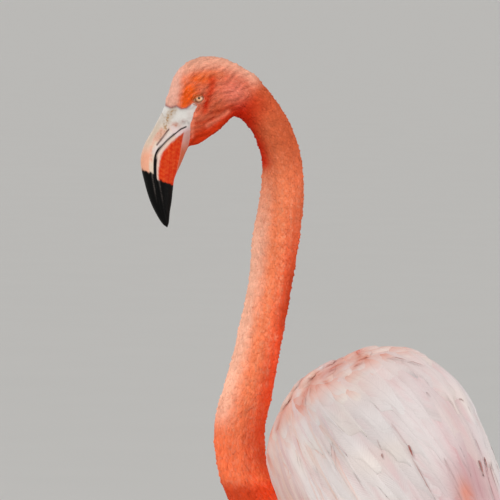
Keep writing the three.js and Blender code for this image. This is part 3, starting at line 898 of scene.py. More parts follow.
feathered = 1 - inside(neck_place(points_of(skin))[::2], bare_outline)
set_tint(skin, mix(bird_colour(points_of(skin)), hues["nape"], 0.10 * feathered))
add_piece("skin", skin, skin_mat, flesh)
skin_tree = BVHTree.FromPolygons([tuple(p) for p in points_of(skin)],
                                 [tuple(f.vertices) for f in skin.polygons])

# %% [markdown]
# ## Feathers and tufts
# A feather is a small grid of faces, pointed at its root and rounded at its tip. Thousands are
# needed, and hair or instances would be lost when the model is exported, so the grid's points are
# repeated in arrays and joined into one mesh per region. Rows are staggered like roof tiles: a
# feather starts close to the skin and its tip lies over the next rows.

# %% Where feathers grow
def on_skin(points):
    """The nearest places on the skin, and the way out of it there."""
    hits = [skin_tree.find_nearest(Vector(p))[:2] for p in points]
    return np.array([h[0] for h in hits]), np.array([h[1] for h in hits])


def steps_of(points):
    return np.linalg.norm(np.diff(points, axis=0), axis=1)


def run_of(steps):
    """How far each point of a line is from its start, in millimetres."""
    return np.concatenate([[0], np.cumsum(steps)]) / MM


def plant(surface, start, end, row_gap, side_gap, keep=None, jitter=0.22):
    """Staggered rows of roots from start to end of a surface, row_gap apart and side_gap across."""
    fine = np.linspace(start, end, 300)
    run = run_of(np.max([steps_of(surface(fine, np.full(300, a)))
                         for a in np.linspace(-math.pi, math.pi, 8, endpoint=False)], axis=0))
    x, angle = [], []
    for number, at in enumerate(np.interp(np.arange(row_gap / 2, run[-1], row_gap), run, fine)):
        turn = np.linspace(-math.pi, math.pi, 97)
        girth = run_of(steps_of(surface(np.full(97, at), turn)))
        count = max(int(girth[-1] / side_gap), 3)
        spots = (np.arange(count) + 0.5 * (number % 2) + chance.uniform(-jitter, jitter, count)) / count
        angle.append(np.interp(spots % 1 * girth[-1], girth, turn))
        x.append(at + chance.uniform(-jitter, jitter, count) * row_gap * (end - start) / run[-1])
    x, angle = np.clip(np.concatenate(x), 0, 1), np.concatenate(angle)
    if keep is not None:
        kept = keep(surface(x, angle), angle)
        x, angle = x[kept], angle[kept]
    return rooted(surface, x, angle)


def rooted(surface, x, angle, drift=0.0):
    """Roots on the skin at places of a surface; drift turns them by an angle for each unit of x."""
    x, angle, drift = np.broadcast_arrays(np.asarray(x, float), angle, drift)
    wanted, step = surface(x, angle), 0.012
    ahead = (surface(np.clip(x + step, 0, 1), angle + drift * step)
             - surface(np.clip(x - step, 0, 1), angle - drift * step))
    spot, normal = on_skin(wanted)
    near = np.linalg.norm(spot - wanted, axis=-1) < 14 * MM
    x, angle, spot, normal, ahead = (v[near] for v in (x, angle, spot, normal, ahead))
    lie = unit(ahead - normal * np.sum(ahead * normal, -1, keepdims=True))
    unwrapped = np.stack([angle / (2 * math.pi) + 0.5, x], -1)
    return dict(spot=spot, normal=normal, lie=lie, map=unwrapped, x=x, angle=angle)


# %% [markdown]
# A grid's points have two numbers: `u` runs across the feather from -1 to 1, and `s` along it from
# 0 at the root to 1 at the tip. An outline gives the half width at `s`.

# %% One feather's grid
def feather_grid(columns, rows):
    """A flat grid's u and s, closer together at the tip, and its faces."""
    shape = bmesh.new()
    bmesh.ops.create_grid(shape, x_segments=columns, y_segments=rows, size=1)
    flat = np.array([v.co[:2] for v in shape.verts])
    faces = np.array([[v.index for v in f.verts] for f in shape.faces])
    shape.free()
    return flat[:, 0], 1 - (0.5 - flat[:, 1] / 2) ** 1.5, faces


def vane_outline(s):
    """A contour feather: narrow at the root, broad, and rounded at the tip."""
    tip = np.clip(1 - (np.clip(s - 0.55, 0, 1) / 0.452) ** 2, 0.012, 1)
    return np.clip(0.3 + 1.5 * s, 0, 1) * np.sqrt(tip)


def scapular_outline(s):
    """A long back feather: broad, then tapering to a soft rounded tip."""
    tip = np.clip((1.01 - s) * 12, 0.02, 1)
    return np.clip(0.35 + 1.6 * s, 0, 1) * (1 - 0.72 * soft(s, 0.5, 1.0)) * np.sqrt(tip)


def tuft_outline(s):
    """A short soft feather: a pointed leaf."""
    return np.clip(0.45 + 1.8 * s, 0, 1) * np.clip(1.25 * (1 - s), 0.0, 1) ** 0.7


def plume_outline(s):
    """A long plume: slender, drawn out to a fine tip."""
    return np.clip(0.35 + 2.2 * s, 0, 1) * np.clip(1.06 - s, 0.02, 1) ** 0.55


small_grid, medium_grid, large_grid = feather_grid(2, 2), feather_grid(2, 3), feather_grid(6, 14)


# %% Growing them
def grow(name, roots, length, width, lift, grid, outline, paint, material, slot, replaced=(),
         base=0.4, cup=0.14, twist=0.12, ragged=0.0, hug=False, free=0.0, droop=0.0,
         slope=1.2, tuck=0.0, tip_tuck=0.0):
    """Joins a feather at every root into one piece. Sizes are in millimetres and may differ by root.
    base is the root's height and lift the tip's. With hug every point lies on the skin, and free
    lets the tip stand off it. cup and tuck draw the edges down and tip_tuck the tip, so that a
    feather beds into its neighbours."""
    u, s, faces = grid
    count = len(roots["x"])
    length, width, lift, droop = (
        np.broadcast_to(v, count)[:, None] * chance.uniform(0.86, 1.14, (count, 1))
        for v in (length, width, lift, droop))
    lift = lift + chance.uniform(-0.25, 0.35, (count, 1)) * 0.5
    turn = chance.normal(0, twist, (count, 1))
    normal, lie = roots["normal"], roots["lie"]
    across = np.cross(normal, lie)
    lie, across = (lie * np.cos(turn) + across * np.sin(turn),
                   across * np.cos(turn) - lie * np.sin(turn))
    along = s * (1 - 0.10 * u**2 * s) * length
    if ragged:
        teeth = chance.uniform(-1, 0.5, (count, len(u))) * ragged * soft(s, 0.72, 1)
        along = along + teeth * length
    sideways = u * outline(s) * width / 2
    flat = (roots["spot"][:, None] + lie[:, None] * (along * MM)[..., None]
            + across[:, None] * (sideways * MM)[..., None])
    rise = np.broadcast_to(base, count)[:, None] * (0.4 + 0.6 * soft(s, 0.0, 0.35)) + lift * s**slope
    rise = rise * (1 - tuck * np.abs(u) ** 3) * (1 - tip_tuck * s**10)
    rise = rise - cup * np.abs(sideways) * np.abs(u)
    out_way = np.broadcast_to(normal[:, None], flat.shape)
    if hug:
        hit, out_way = (v.reshape(flat.shape) for v in on_skin(flat.reshape(-1, 3)))
        stand = np.linalg.norm(flat - hit, axis=-1) / MM * (np.sum((flat - hit) * out_way, -1) >= 0)
        rise = rise + np.clip(stand, 0, free * s**1.5)
        flat, out_way = hit, unit(out_way + normal[:, None] * 0.4)
    points = flat + out_way * (rise * MM)[..., None]
    points[..., 2] -= droop * s**2 * MM
    colour = paint(bird_colour(points), s[None], u[None], chance.random((count, 1, 3)))

    sides_each = faces.shape[1]
    quads = (faces[None] + (np.arange(count) * len(u))[:, None, None]).reshape(-1, sides_each)
    mesh = bpy.data.meshes.new(name)
    mesh.vertices.add(count * len(u))
    mesh.loops.add(quads.size)
    mesh.polygons.add(len(quads))
    mesh.vertices.foreach_set("co", points.astype(np.float32).ravel())
    mesh.loops.foreach_set("vertex_index", quads.ravel().astype(np.int32))
    mesh.polygons.foreach_set("loop_start", np.arange(0, quads.size, sides_each, dtype=np.int32))
    mesh.update(calc_edges=True)
    set_tint(mesh, colour.reshape(-1, 3))
    patch = np.stack([u * 0.0015, (s - 0.5) * 0.003], -1)
    vane = np.broadcast_to(np.stack([u / 2 + 0.5, s], -1), (count, len(u), 2))
    for layer, values in (("OFBake", roots["map"][:, None] * 0.99 + 0.005 + patch), ("vane", vane)):
        flat_map = values.reshape(-1, 2)[quads.ravel()].astype(np.float32)
        mesh.uv_layers.new(name=layer).data.foreach_set("uv", flat_map.ravel())
    add_piece(name, mesh, material, replaced)


# %% [markdown]
# A paint takes the bird's colour at a feather's points and three random numbers for the feather.

# %% Paints
def soft_paint(colour, s, u, luck):
    """Soft plumage: the root as deep as the skin, the tip paler, and some tufts paler still."""
    colour = lit(colour, (0.99 + 0.05 * s) * (0.90 + 0.2 * luck[..., 0]))
    pale = (luck[..., 1] > 0.72) * 0.45 * s * np.clip(colour[..., 0] * 3 - 1.2, 0, 1)
    paler = colour * 0.45 + hues["crown"] * 0.3 + hues["neck_front"] * 0.25
    return mix(colour, paler, pale * np.clip(colour[..., 1] * 6, 0.3, 1))


def vane_paint(colour, s, u, luck):
    """Body feathers: faintly darker at the edges as painted shade, pinker there and at the root, partly
    their own pink and partly painted shade, and now and then washed with peach or pink.
    """
    edge = np.clip(np.abs(u) * 3 - 2, 0, 1) * 0.12 + (1 - s) ** 2 * 0.3
    wash = np.where(luck[..., 2:] > 0.5, hues["warm"], hues["pink"])
    return washed(lit(colour, (0.955 + 0.07 * luck[..., 0]) * (1 - 0.04 * np.abs(u))),
                  ("pink", edge), (wash, (luck[..., 1] > 0.8) * 0.22 * soft(s, 0.1, 0.9)))


def ruffled_paint(colour, s, u, luck):
    """Shoulder feathers: pale in the middle, coral where the next one shades them and at the rim."""
    shaded = (1 - soft(s, 0.45, 0.85)) * 0.5
    rim = np.clip(np.abs(u) * 2.5 - 1.4, 0, 1) * 0.3 * (luck[..., 2] > 0.35)
    rim = rim + soft(s, 0.93, 1.0) * 0.25
    return washed(vane_paint(colour, s, u, luck),
                  (mix(hues["peach"], hues["pink"], 0.4), np.clip(shaded + rim, 0, 0.85)),
                  ("#c8735a", (1 - soft(s, 0.2, 0.5)) * 0.6))


def ribbon_paint(colour, s, u, luck):
    """Flank feathers: narrow ribbons, some of them mauve or peach towards the edges."""
    share = (luck[..., 1] > 0.5) * 0.4 * (0.4 + 0.6 * np.abs(u)) * soft(s, 0.05, 0.4)
    return mix(vane_paint(colour, s, u, luck),
               np.where(luck[..., 2:] > 0.45, hues["peach"], hues["mauve"]), share)


def plume_paint(colour, s, u, luck):
    blush = (luck[..., 2] > 0.72) * 0.5 * soft(s, 0.2, 0.7) * (0.4 + 0.6 * np.abs(u))
    return mix(vane_paint(colour, s, u, luck), hues["peach"], blush)


def tail_paint(colour, s, u, luck):
    return mix(mix(hues["rose"], hues["shell"], 0.25) * (0.92 + 0.12 * luck), hues["pink"], 0.4 * s)


def black_paint(colour, s, u, luck):
    """Flight feathers: black, with a dark red root."""
    return hues["black"] * (0.8 + 0.6 * luck) + lit(linear("#7a2a1c") * 0.5, 1 - soft(s, 0.1, 0.35))


# %% [markdown]
# ### The neck and head
# The neck's plumage is short and dense, and reads as velvet with a slight sparkle of paler tips.
# The face has the smallest feathers, and none on the bare skin before the eye.

# %% Coats of the neck and head
tufts = dict(outline=tuft_outline, paint=soft_paint, material=soft_mat)


def off_bare(spot, angle):
    reach, out, height = neck_place(spot)
    clear = np.hypot((reach - eye_reach) / np.where(reach > eye_reach, 8.2, 6.2),
                     (height - eye_height) / np.where(height > eye_height, 4.6, 6.0)) > 1
    return (inside((reach, height), bare_outline) < 0.5) & clear


def strays(roots, share, stray, usual):
    """The tip's lift: a few tufts stand up more than the rest."""
    return np.where(chance.random(len(roots["x"])) > share, stray, usual)


face = plant(head_surface, 0.004, 0.42, 1.45, 1.35, off_bare)
grow("face_feathers", face, 3.6, 2.1, 0.6, small_grid, slot="coral_plumage",
     base=0.3, twist=0.26, tuck=0.9, tip_tuck=0.6, **tufts)
crown = plant(head_surface, 0.40, 0.99, 2.0, 1.8, off_bare)
grow("head_feathers", crown, 5.2, 3.0, strays(crown, 0.93, 2.0, 1.0), medium_grid,
     slot="coral_plumage", twist=0.28, tuck=0.95, tip_tuck=0.6, **tufts)
for name, start, end, gap, long in (("neck_feathers_upper", 0.03, 0.36, 2.35, 6.5),
                                    ("neck_feathers_middle", 0.35, 0.64, 2.45, 7.5),
                                    ("neck_feathers_lower", 0.63, 0.93, 2.9, 10.0)):
    down = plant(neck_surface, start, end, gap * 1.15, gap)
    grow(name, down, long, gap * 2.3, strays(down, 0.88, 2.0, 0.75), small_grid,
         slot="coral_plumage", base=0.6, twist=0.26, slope=0.8, tuck=0.8, tip_tuck=1.0, cup=0.0,
         hug=True, **tufts)


# %% [markdown]
# ### The body
# Large smooth vanes cover the back and the folded wings, small at the shoulders and long behind.
# They follow the body's curve, so every point of such a feather is laid on the skin again.

# %% Coats of the back and wings
vanes = dict(material=vane_mat, hug=True, cup=0.0)
wing_edge = [-150, -136, -100, -40, 30, 104, 180, 270], [20, -20, -48, -62, -60, -46, -32, -22]


def wing_area(spot, angle):
    along, side, back = body_place(spot)
    return (back > np.interp(along, *wing_edge)) & (neck_distance(spot) > 40)


def on_spine(roots, start):
    """1 for roots on the middle line of the back, from a little behind the shoulders."""
    return hump(roots["angle"], 0, 0.55) * soft(roots["x"], start, 0.2)


mantle = plant(back_surface, 0.10, 0.86, 46, 14.5, wing_area, 0.42)
long = 150 + 20 * mantle["x"]
long[6] -= 28  # at full length its tip would fold over the wing's lower edge
grow("back_feathers", mantle, long, 34, 1.0, feather_grid(10, 20), scapular_outline, vane_paint,
     slot="pale_plumage", twist=0.045, ragged=0.01, free=0.9, slope=0.8, tuck=1.1, tip_tuck=1.1,
     base=0.5 + 3.6 * on_spine(mantle, 0.08), **vanes)
coverts = plant(back_surface, 0.012, 0.20, 15, 16, wing_area, 0.34)
x, top_share = coverts["x"], soft(1.05 - np.abs(coverts["angle"]), 0, 0.3)
ruffle = 0.8 + top_share * (0.8 + 2.6 * soft(ripple(coverts["spot"], 46), -0.1, 0.8) * (x < 0.17))
grow("shoulder_feathers", coverts, 36 + 70 * x + 34 * (1 - top_share), 25 + 16 * x, ruffle,
     large_grid, vane_outline, ruffled_paint, slot="pale_plumage", twist=0.16, ragged=0.03,
     slope=0.9, tuck=1.0, tip_tuck=0.9, **vanes)

# %% [markdown]
# A few broad feathers ruffle up at the shoulder and break the outline, and here and there two
# feathers of the back part, so that a thin line of the darker down between them shows. That line
# is a thin sliver laid on the coat, painted rust and darkened as the gap's painted shade.

# %% Ruffled feathers and partings
bold = np.array([  # x, angle and lift
    (0.048, -0.62, 6.5), (0.052, -0.78, 5), (0.05, -0.95, 6), (0.118, -0.34, 3.5),
    (0.122, -0.50, 0.8), (0.13, -0.12, 3.5), (0.15, -0.02, 3), (0.03, -1.15, 4),
    (0.035, -1.35, 3.5), (0.15, 0.2, 3)])
grow("ruffled_feathers", rooted(back_surface, bold[:, 0], bold[:, 1], 0.4), 36, 34, bold[:, 2],
     feather_grid(8, 12), vane_outline, ruffled_paint, slot="pale_plumage", twist=0.1, ragged=0.05,
     slope=1.1, base=1.0, tuck=0.95, tip_tuck=0.75, **vanes)
partings = np.array([  # x, angle, drift, length and strength
    (0.474, -0.65, -0.9, 17, 1.0), (0.500, -0.685, -0.25, 64, 0.7),
    (0.405, -0.85, -1.0, 24, 0.4), (0.449, -0.895, -1, 8, 0.8), (0.50, 0.38, 0.5, 40, 0.4),
    (0.555, 0.18, 0.2, 44, 0.5), (0.60, 0.10, -0.3, 40, 0.55), (0.575, 0.22, 0.5, 40, 0.45),
    (0.226, -0.23, 3.3, 26, 0.85), (0.262, -0.12, 3.3, 26, 0.75), (0.144, -0.78, 8, 20, 0.8),
    (0.191, -0.57, 14, 17, 0.5), (0.137, -0.34, -3, 18, 0.6), (0.130, -1.00, -4, 18, 0.6),
    (0.144, -1.11, -1.8, 20, 0.6), (0.097, -0.97, 2.5, 20, 0.5), (0.392, -0.67, 0, 40, 0.4),
    (0.308, -1.14, -1.8, 30, 0.25), (0.417, -1.18, -0.4, 30, 0.35), (0.375, -0.19, -0.3, 14, 0.5),
    (0.412, 0.12, 3.5, 8, 0.6), (0.533, -0.40, 0, 40, 0.35), (0.506, 0.06, 0.4, 32, 0.45),
    (0.211, -1.42, -1.3, 45, 0.3), (0.285, -1.34, -1.5, 43, 0.3), (0.558, 0.12, -0.4, 36, 0.9),
    (0.571, 0.0, 0, 30, 0.85), (0.30, 0.9, 1, 30, 0.4), (0.45, 0.7, 0.6, 40, 0.7),
    (0.2, 1.1, 2, 24, 0.5)])
at, angle, drift, long, strength = partings.T


def parting_paint(colour, s, u, luck):
    """Rusty down between the feathers, darkened as painted shade of the gap, brighter towards the
    front.
    """
    share = (strength**1.3)[:, None] * 0.95 * np.sin(np.clip(s, 0.02, 1) * math.pi) ** 0.7
    shaded_rust = hues["rust"] * 0.5 + hues["mauve"] * 0.08
    return mix(colour, mix(shaded_rust, linear("#b84e2c"), soft(0.22 - at, 0, 0.05)[:, None]), share)


gaps = rooted(back_surface, at, angle, drift)
grow("feather_partings", gaps, long, 0.7 + 1.7 * strength**2, 0.3, feather_grid(2, 16),
     plume_outline, parting_paint, slot="pale_plumage", twist=0.0,
     base=1.9 + 0.8 * (strength > 0.65) + 3.2 * on_spine(gaps, 0.1) + 2.8 * (at < 0.18), **vanes)


# %% Coats of the flanks and belly
def flank_area(spot, angle):
    return (np.abs(angle) > 1.0) & (np.abs(angle) < 2.2) & (neck_distance(spot) > 40)


def belly_area(spot, angle):
    return ~wing_area(spot, angle) & (neck_distance(spot) > 34)


ribbons = plant(back_surface, 0.09, 0.30, 24, 12, flank_area, 0.45)
ribbons = rooted(back_surface, ribbons["x"], ribbons["angle"], np.sign(ribbons["angle"]) * 0.9)
grow("flank_feathers", ribbons, 92, 8.5, 1.3, feather_grid(2, 14), plume_outline, ribbon_paint,
     slot="pale_plumage", twist=0.04, free=1.0, slope=0.8, tuck=0.9, tip_tuck=1.0, base=1.3, **vanes)
belly = plant(belly_surface, 0.02, 0.93, 10, 10, belly_area)
grow("belly_feathers", belly, 32, 15, 2.6, feather_grid(2, 5), vane_outline, vane_paint,
     slot="rose_plumage", twist=0.16, ragged=0.06, slope=0.7, tuck=0.9, tip_tuck=0.7, **vanes)

# %% [markdown]
# ## The bill's colours and relief
# The ridge is cream, the bend pink, the tip black, and a dark line parts the halves. The nostril is
# a long slit. All of it is painted on the two forms' points and cut a little into them.

# %% Places on the bill
def bill_places(mesh):
    """A half's points, their places in the neck's plane, and how far they are along the bill."""
    p = points_of(mesh)
    reach, out, height = neck_place(p)
    x = np.empty(len(p), np.float32)
    mesh.attributes["along"].data.foreach_get("value", x)
    return p, reach, out, height, np.clip((x - bill_root) / (1 - bill_root), 0, 1)


def share_up(x, reach, height, top_line, bottom_line):
    """How far a place on the bill is from the bottom line (0) to the top line (1)."""
    top, bottom = smooth_line(top_line, x), smooth_line(bottom_line, x)
    rise = top - bottom
    return np.clip(((reach - bottom[:, 0]) * rise[:, 0] + (height - bottom[:, 1]) * rise[:, 1])
                   / np.maximum((rise**2).sum(-1), 1e-6), 0, 1)


def press_in(mesh, p, out, depth):
    """Moves a half's sides inwards by a depth in millimetres, and leaves its middle line."""
    step = neck_across[None] * (np.sign(out) * depth * (np.abs(out) > 1.5))[:, None]
    move_points(mesh, p - step * MM)


def finish_half(mesh, colour, lip, x, replaced):
    """The dark line of the mouth goes over everything else."""
    set_tint(mesh, mix(colour, hues["black"], soft(-lip, -0.25, 0.2) * soft(x, 0.0, 0.02)))
    add_piece(mesh.name, mesh, horn_mat, [replaced])


# %% The upper half: a cream ridge, a pink bend, the nostril's slit and a black tip
p, reach, out, height, x = bill_places(upper_bill)
plane = reach, height
up = share_up(x, reach, height, ridge_line, mouth_line)
lip = from_lip(plane)
slit = stroke(plane, nostril, 0.75) * (np.abs(out) > 4)
ridge_streak = stroke(plane, [(223, 1114), (229.6, 1105.6), (234.6, 1094), (234.2, 1080)], 1.5)
lip_groove = hump(lip, 2.2, 0.7) * soft(-height, -1100, -1085) * soft(height, 1035, 1050)
grooves = 0.14 * ripple(p, 5.0) * soft(up, 0.3, 0.6)
press_in(upper_bill, p, out, 1.2 * slit + 0.35 * lip_groove + 0.3 * ridge_streak + grooves)
pale_side = soft(-near_line(plane, [(208, 1110), (220, 1103), (229, 1091)]), -5.5, -2.0)
bend_pink = np.clip(blob(plane, (239, 1077), (8, 15)) * 1.25, 0, 0.82)
flecks = stroke(plane, [(222, 1134), (217, 1125), (219.5, 1115), (226, 1105)], 3.6)
black_edge = 0.447 + 0.036 * up + 0.008 * ripple(p, 4.5) + 0.006 * ripple(p, 1.9)
black = soft(x, black_edge - 0.006, black_edge + 0.010)
worn = hump(lip, 1.3, 0.7) * soft(-x, -0.70, -0.50) * (0.5 + 0.5 * ripple(p, 3))
colour = mix(hues["cream"], hues["bare"], soft(-x, -0.14, -0.03) * 0.8)
finish_half(upper_bill, washed(
    lit(colour, 1 - 0.12 * soft(up + 0.1 * ripple(p, 8), 0.5, 0.9)),
    (mix(hues["bare"], hues["pink"], 0.3), pale_side * 0.8),
    ("horn_pink", bend_pink * soft(lip, 3.2, 5.5)),
    ("tan", flecks * (0.3 + 0.65 * soft(ripple(p, 3.4), 0.0, 0.5))),
    ("grey", flecks * 0.6 * soft(ripple(p, 2.6), 0.45, 0.8) * soft(height, 1112, 1120)),
    ("rose", ridge_streak * (0.4 + 0.3 * ripple(p, 6))),
    ("#d9907c", 0.5 * stroke(plane, [(221, 1111), (228, 1103)], 2.6)),
    ("rose", 0.55 * blob(plane, (209, 1115), (6, 3.5))),
    ("black", black), ("grey", worn * black * 0.7), ("#45100f", slit)), lip, x, "bill_upper")

# %% The lower half: orange red with a cream rim, and black from the bend
p, reach, out, height, x = bill_places(lower_bill)
up = share_up(x, reach, height, lower_mouth, keel_line)
lip = from_lip((reach, height))
rim = hump(lip, 1.6, 0.6) * soft(x, 0.03, 0.1)
press_in(lower_bill, p, out, 0.35 * rim + 0.12 * ripple(p, 4.0))
strip = soft(np.interp(height, *strip_edge) - reach, -0.5, 1.0)
black_edge = 0.375 + 0.115 * up + 0.010 * ripple(p, 5.0) + 0.007 * ripple(p, 2.1)
black = soft(x, black_edge - 0.006, black_edge + 0.012)
worn = rim * soft(-x, -0.72, -0.5) * (0.5 + 0.5 * ripple(p, 3))
finish_half(lower_bill, washed(
    mandible_colour(mix(hues["cream"], hues["pink"], 0.25 + 0.55 * strip), p),
    ("black", black), ("grey", worn * black * 0.6)), lip, x, "bill_lower")


# %% [markdown]
# ## The eyes
# An eyeball is a sphere with its pole looking out. The pale tan iris is small, the pupil smaller
# still, and lids hold the ball: the upper one cuts straight across it, which gives the stern look.
# Each lid ring starts on the ball and runs out until it dives under the skin.

# %% Eyeballs and lids
eye_tilt = math.radians(21)
opening = (5.0, 3.7)  # the opening's half width and half height
lid_lift = 0.35  # the opening's middle lies this far above the ball's


def eyeball(name, side):
    shape = bmesh.new()
    bmesh.ops.create_uvsphere(shape, u_segments=48, v_segments=40, radius=eye_radius * MM)
    turn = Vector((0, 0, 1)).rotation_difference(Vector(neck_across * side)).to_matrix()
    bmesh.ops.rotate(shape, verts=shape.verts, cent=(0, 0, 0), matrix=turn)
    centre = row_frame(neck_point(eye_reach, side * eye_out, eye_height))
    bmesh.ops.translate(shape, verts=shape.verts, vec=centre)
    mesh = written(shape, name)
    reach, out, height = neck_place(points_of(mesh))
    ahead, above = reach - eye_reach, height - eye_height - 0.9
    off = np.hypot(ahead + 0.3, above)
    spokes = 0.5 + 0.5 * np.sin(np.arctan2(above, ahead) * 24)
    # The iris darkens at its rim, and its upper part carries a painted shadow of the upper lid.
    ring_and_lid_shadow = soft(off, 2.3, 3.3) * 0.6 + soft(above, -0.6, 1.8) * 0.6 + spokes * 0.08
    set_tint(mesh, washed(
        hues["iris"], ("rim", np.clip(ring_and_lid_shadow, 0, 1)), ("#2e0f04", soft(-off, -1.4, -1.0)),
        ("rim", soft(off, 3.3, 3.8)), (mix(hues["iris"], hues["rim"], 0.45), soft(ahead, 3.6, 4.6))))
    add_piece(name, mesh, eye_mat, [name.replace("ball", "")])


def skin_out(reach, height, side):
    """How far out the skin is, at places of the neck's plane."""
    found = []
    for r, h in zip(reach, height):
        start = Vector(row_frame(neck_point(r, side * 60.0, h)))
        hit = skin_tree.ray_cast(start, Vector(-neck_across * side))[0]
        found.append(abs(neck_place(np.array(hit))[1]) if hit else 0.0)
    return np.array(found)


def lid_ring(name, side):
    """A ring of skin round the opening: r runs from the opening's edge, 0, to under the skin, 1."""
    shape = bmesh.new()
    bmesh.ops.create_grid(shape, x_segments=64, y_segments=16, size=1)
    turn, r = (np.array([v.co[:2] for v in shape.verts]) * (math.pi, 0.5) + (0, 0.5)).T
    high = np.sin(turn)
    straight = list(section(turn, 2.9))[1]
    wide = opening[0] * np.cos(turn)
    tall = opening[1] * np.where(high > 0, 0.52 * straight, 0.97 * high)
    far = 1 + r * (4.2 / np.hypot(wide, tall))
    a, b = wide * far, tall * far
    reach = eye_reach - a * math.cos(eye_tilt) + b * math.sin(eye_tilt)
    height = eye_height + lid_lift + a * math.sin(eye_tilt) + b * math.cos(eye_tilt)
    off = np.hypot(reach - eye_reach, height - eye_height)
    ball = eye_out + np.sqrt(np.maximum(eye_radius**2 - off**2, 1.0))
    on_flesh = soft(r, 0.15, 0.8)
    level = ball * (1 - on_flesh) + (skin_out(reach, height, side) + 0.1) * on_flesh
    rim = 0.55 * hump(r, 0.16, 0.13) + 0.2 * hump(r, 0.52, 0.12) * (high < 0)
    level = np.maximum(level + rim, ball + 0.1) - 1.6 * (r < 0.01) - 0.9 * soft(r, 0.85, 1.0)
    for vertex, p in zip(shape.verts, row_frame(neck_point(reach, side * level, height))):
        vertex.co = p
    bmesh.ops.remove_doubles(shape, verts=shape.verts, dist=0.00002)
    bmesh.ops.recalc_face_normals(shape, faces=shape.faces)
    return written(shape, name)


def lids(name, side):
    mesh = lid_ring(name, side)
    reach, out, height = neck_place(points_of(mesh))
    ahead, above = reach - eye_reach, height - eye_height - lid_lift
    a = above * math.sin(eye_tilt) - ahead * math.cos(eye_tilt)  # towards the nape
    b = ahead * math.sin(eye_tilt) + above * math.cos(eye_tilt)  # towards the crown
    ring = np.hypot(a / opening[0], b / opening[1])
    low_front = soft(-b, 0.3, 3.0) * soft(-a, -3.5, 2.5)
    crease = np.exp(-((b - 2.6 - 0.1 * a) / 0.55) ** 2) * soft(a, -1.0, 1.5) * soft(-a, -6.5, -4.5)
    set_tint(mesh, washed(
        hues["lid"], ("#d6775a", soft(a, 0.0, 3.0)),
        ("coral", soft(ring, 1.12, 1.45)),
        (mix(hues["brow"], hues["rim"], 0.35), soft(b, 0.0, 2.0) * soft(-a, -6, 3) * 0.95),
        ("throat", soft(a, 6.0, 8.5) * 0.7),
        ("#c0806e", low_front * 0.8),
        ("#7a4a30", low_front * hump(ring, 1.72, 0.13) * 0.85),
        (mix(hues["pink"], hues["bare"], 0.3), low_front * soft(ring, 1.85, 2.1) * 0.7),
        ("rim", hump(ring, 1.06, 0.13) * (0.5 + 0.45 * soft(b, -1.0, 1.5))),
        ("rim", crease * 0.85)))
    add_piece(name, mesh, skin_mat)


for name, side in sides.items():
    eyeball(f"eyeball_{name}", side)
    lids(f"lids_{name}", side)

# %% [markdown]
# ## Tail, plumes and flight feathers
# Behind the folded wings come three kinds of long feather: the short fan of the tail, the black
# flight feathers whose tips show under the wings, and pale plumes that droop over both. Tail and
# flight feathers stand free of the skin, so their roots and directions are given.

# %% Free feathers
def free_roots(places, ways, up):
    """Roots for feathers that don't grow from a surface: where, which way and which side is up."""
    spot, way = np.array(places, float), unit(np.array(ways, float))
    up = unit(up - way * np.sum(way * up, -1, keepdims=True))
    x = np.linspace(0.05, 0.95, len(spot))
    return dict(spot=row_frame(spot), lie=way, normal=up, x=x, angle=x * 0,
                map=np.stack([x, x * 0 + 0.5], -1))


def body_way(along, side, back):
    return body_point(along, side, back) - body_point(0.0, 0.0, 0.0)


def fan_roots(start, bowed, low, spread, rise):
    """Twelve roots side by side, whose feathers spread like a fan."""
    fan = np.linspace(-1, 1, 12)
    return free_roots(
        [body_point(start - bowed * abs(f), 22 * f, low + 3 * (1 - abs(f))) for f in fan],
        [body_way(1.0, spread * f, rise) for f in fan], body_way(0.1, 0.0, 1.0))


tail = dict(outline=vane_outline, paint=tail_paint, material=vane_mat, slot="rose_plumage", base=0.0)
grow("tail_feathers", fan_roots(190.0, 8, -18, 0.24, -0.03), 114, 27, 1.5, large_grid,
     replaced=["tail"], twist=0.01, ragged=0.02, cup=0.12, **tail)
grow("tail_coverts", fan_roots(175.0, 0, -32, 0.2, 0.05), 70, 24, 1.5, feather_grid(4, 8),
     twist=0.03, ragged=0.04, **tail)
for name, side in sides.items():
    steps = np.arange(8)
    blades = free_roots(
        [body_point(168.0 - 3 * k, side * (26 + 1.7 * k), -16.0 + 2.2 * k) for k in steps],
        [body_way(1.0, side * (-0.10 + 0.012 * k), 0.06 - 0.006 * k) for k in steps],
        body_way(0.0, side * 1.0, 0.55))
    grow(f"primaries_{name}", blades, 146 - 9.0 * steps, 19, 1.0, large_grid, plume_outline,
         black_paint, vane_mat, "flight_feather", [f"flight_feathers_{name}"], base=0.0,
         twist=0.01, cup=0.1)


# %% Plumes over the wings' ends
def plume_area(spot, angle):
    return wing_area(spot, angle) & (np.abs(angle) > 0.12)


plumes = plant(back_surface, 0.55, 0.90, 24, 19, plume_area)
grow("plumes", plumes, 120, 25, 5.5, feather_grid(4, 12), plume_outline, plume_paint, vane_mat,
     "pale_plumage", hug=True, twist=0.06, ragged=0.03, free=16, droop=7, tuck=0.6)

# %% [markdown]
# ### Thighs
# The feathered thighs end a little above the bare shin, in small rose feathers that point down.

# %% Thigh feathers
for name, side in sides.items():
    down = plant(thigh_surface(side), 0.30, 0.985, 5.2, 4.8)
    grow(f"thigh_feathers_{name}", down, 15, 8, 2.2, medium_grid, slot="rose_plumage",
         twist=0.16, base=0.8, **tufts)


# %% [markdown]
# ## Legs
# A flamingo's leg is bone and tendon in a tight scaly skin: plates in front, small scales behind,
# and a thick ankle half way. It is a tube along the leg, and its plates are real relief, cut by
# moving the tube's points in and out with the distance along the leg.

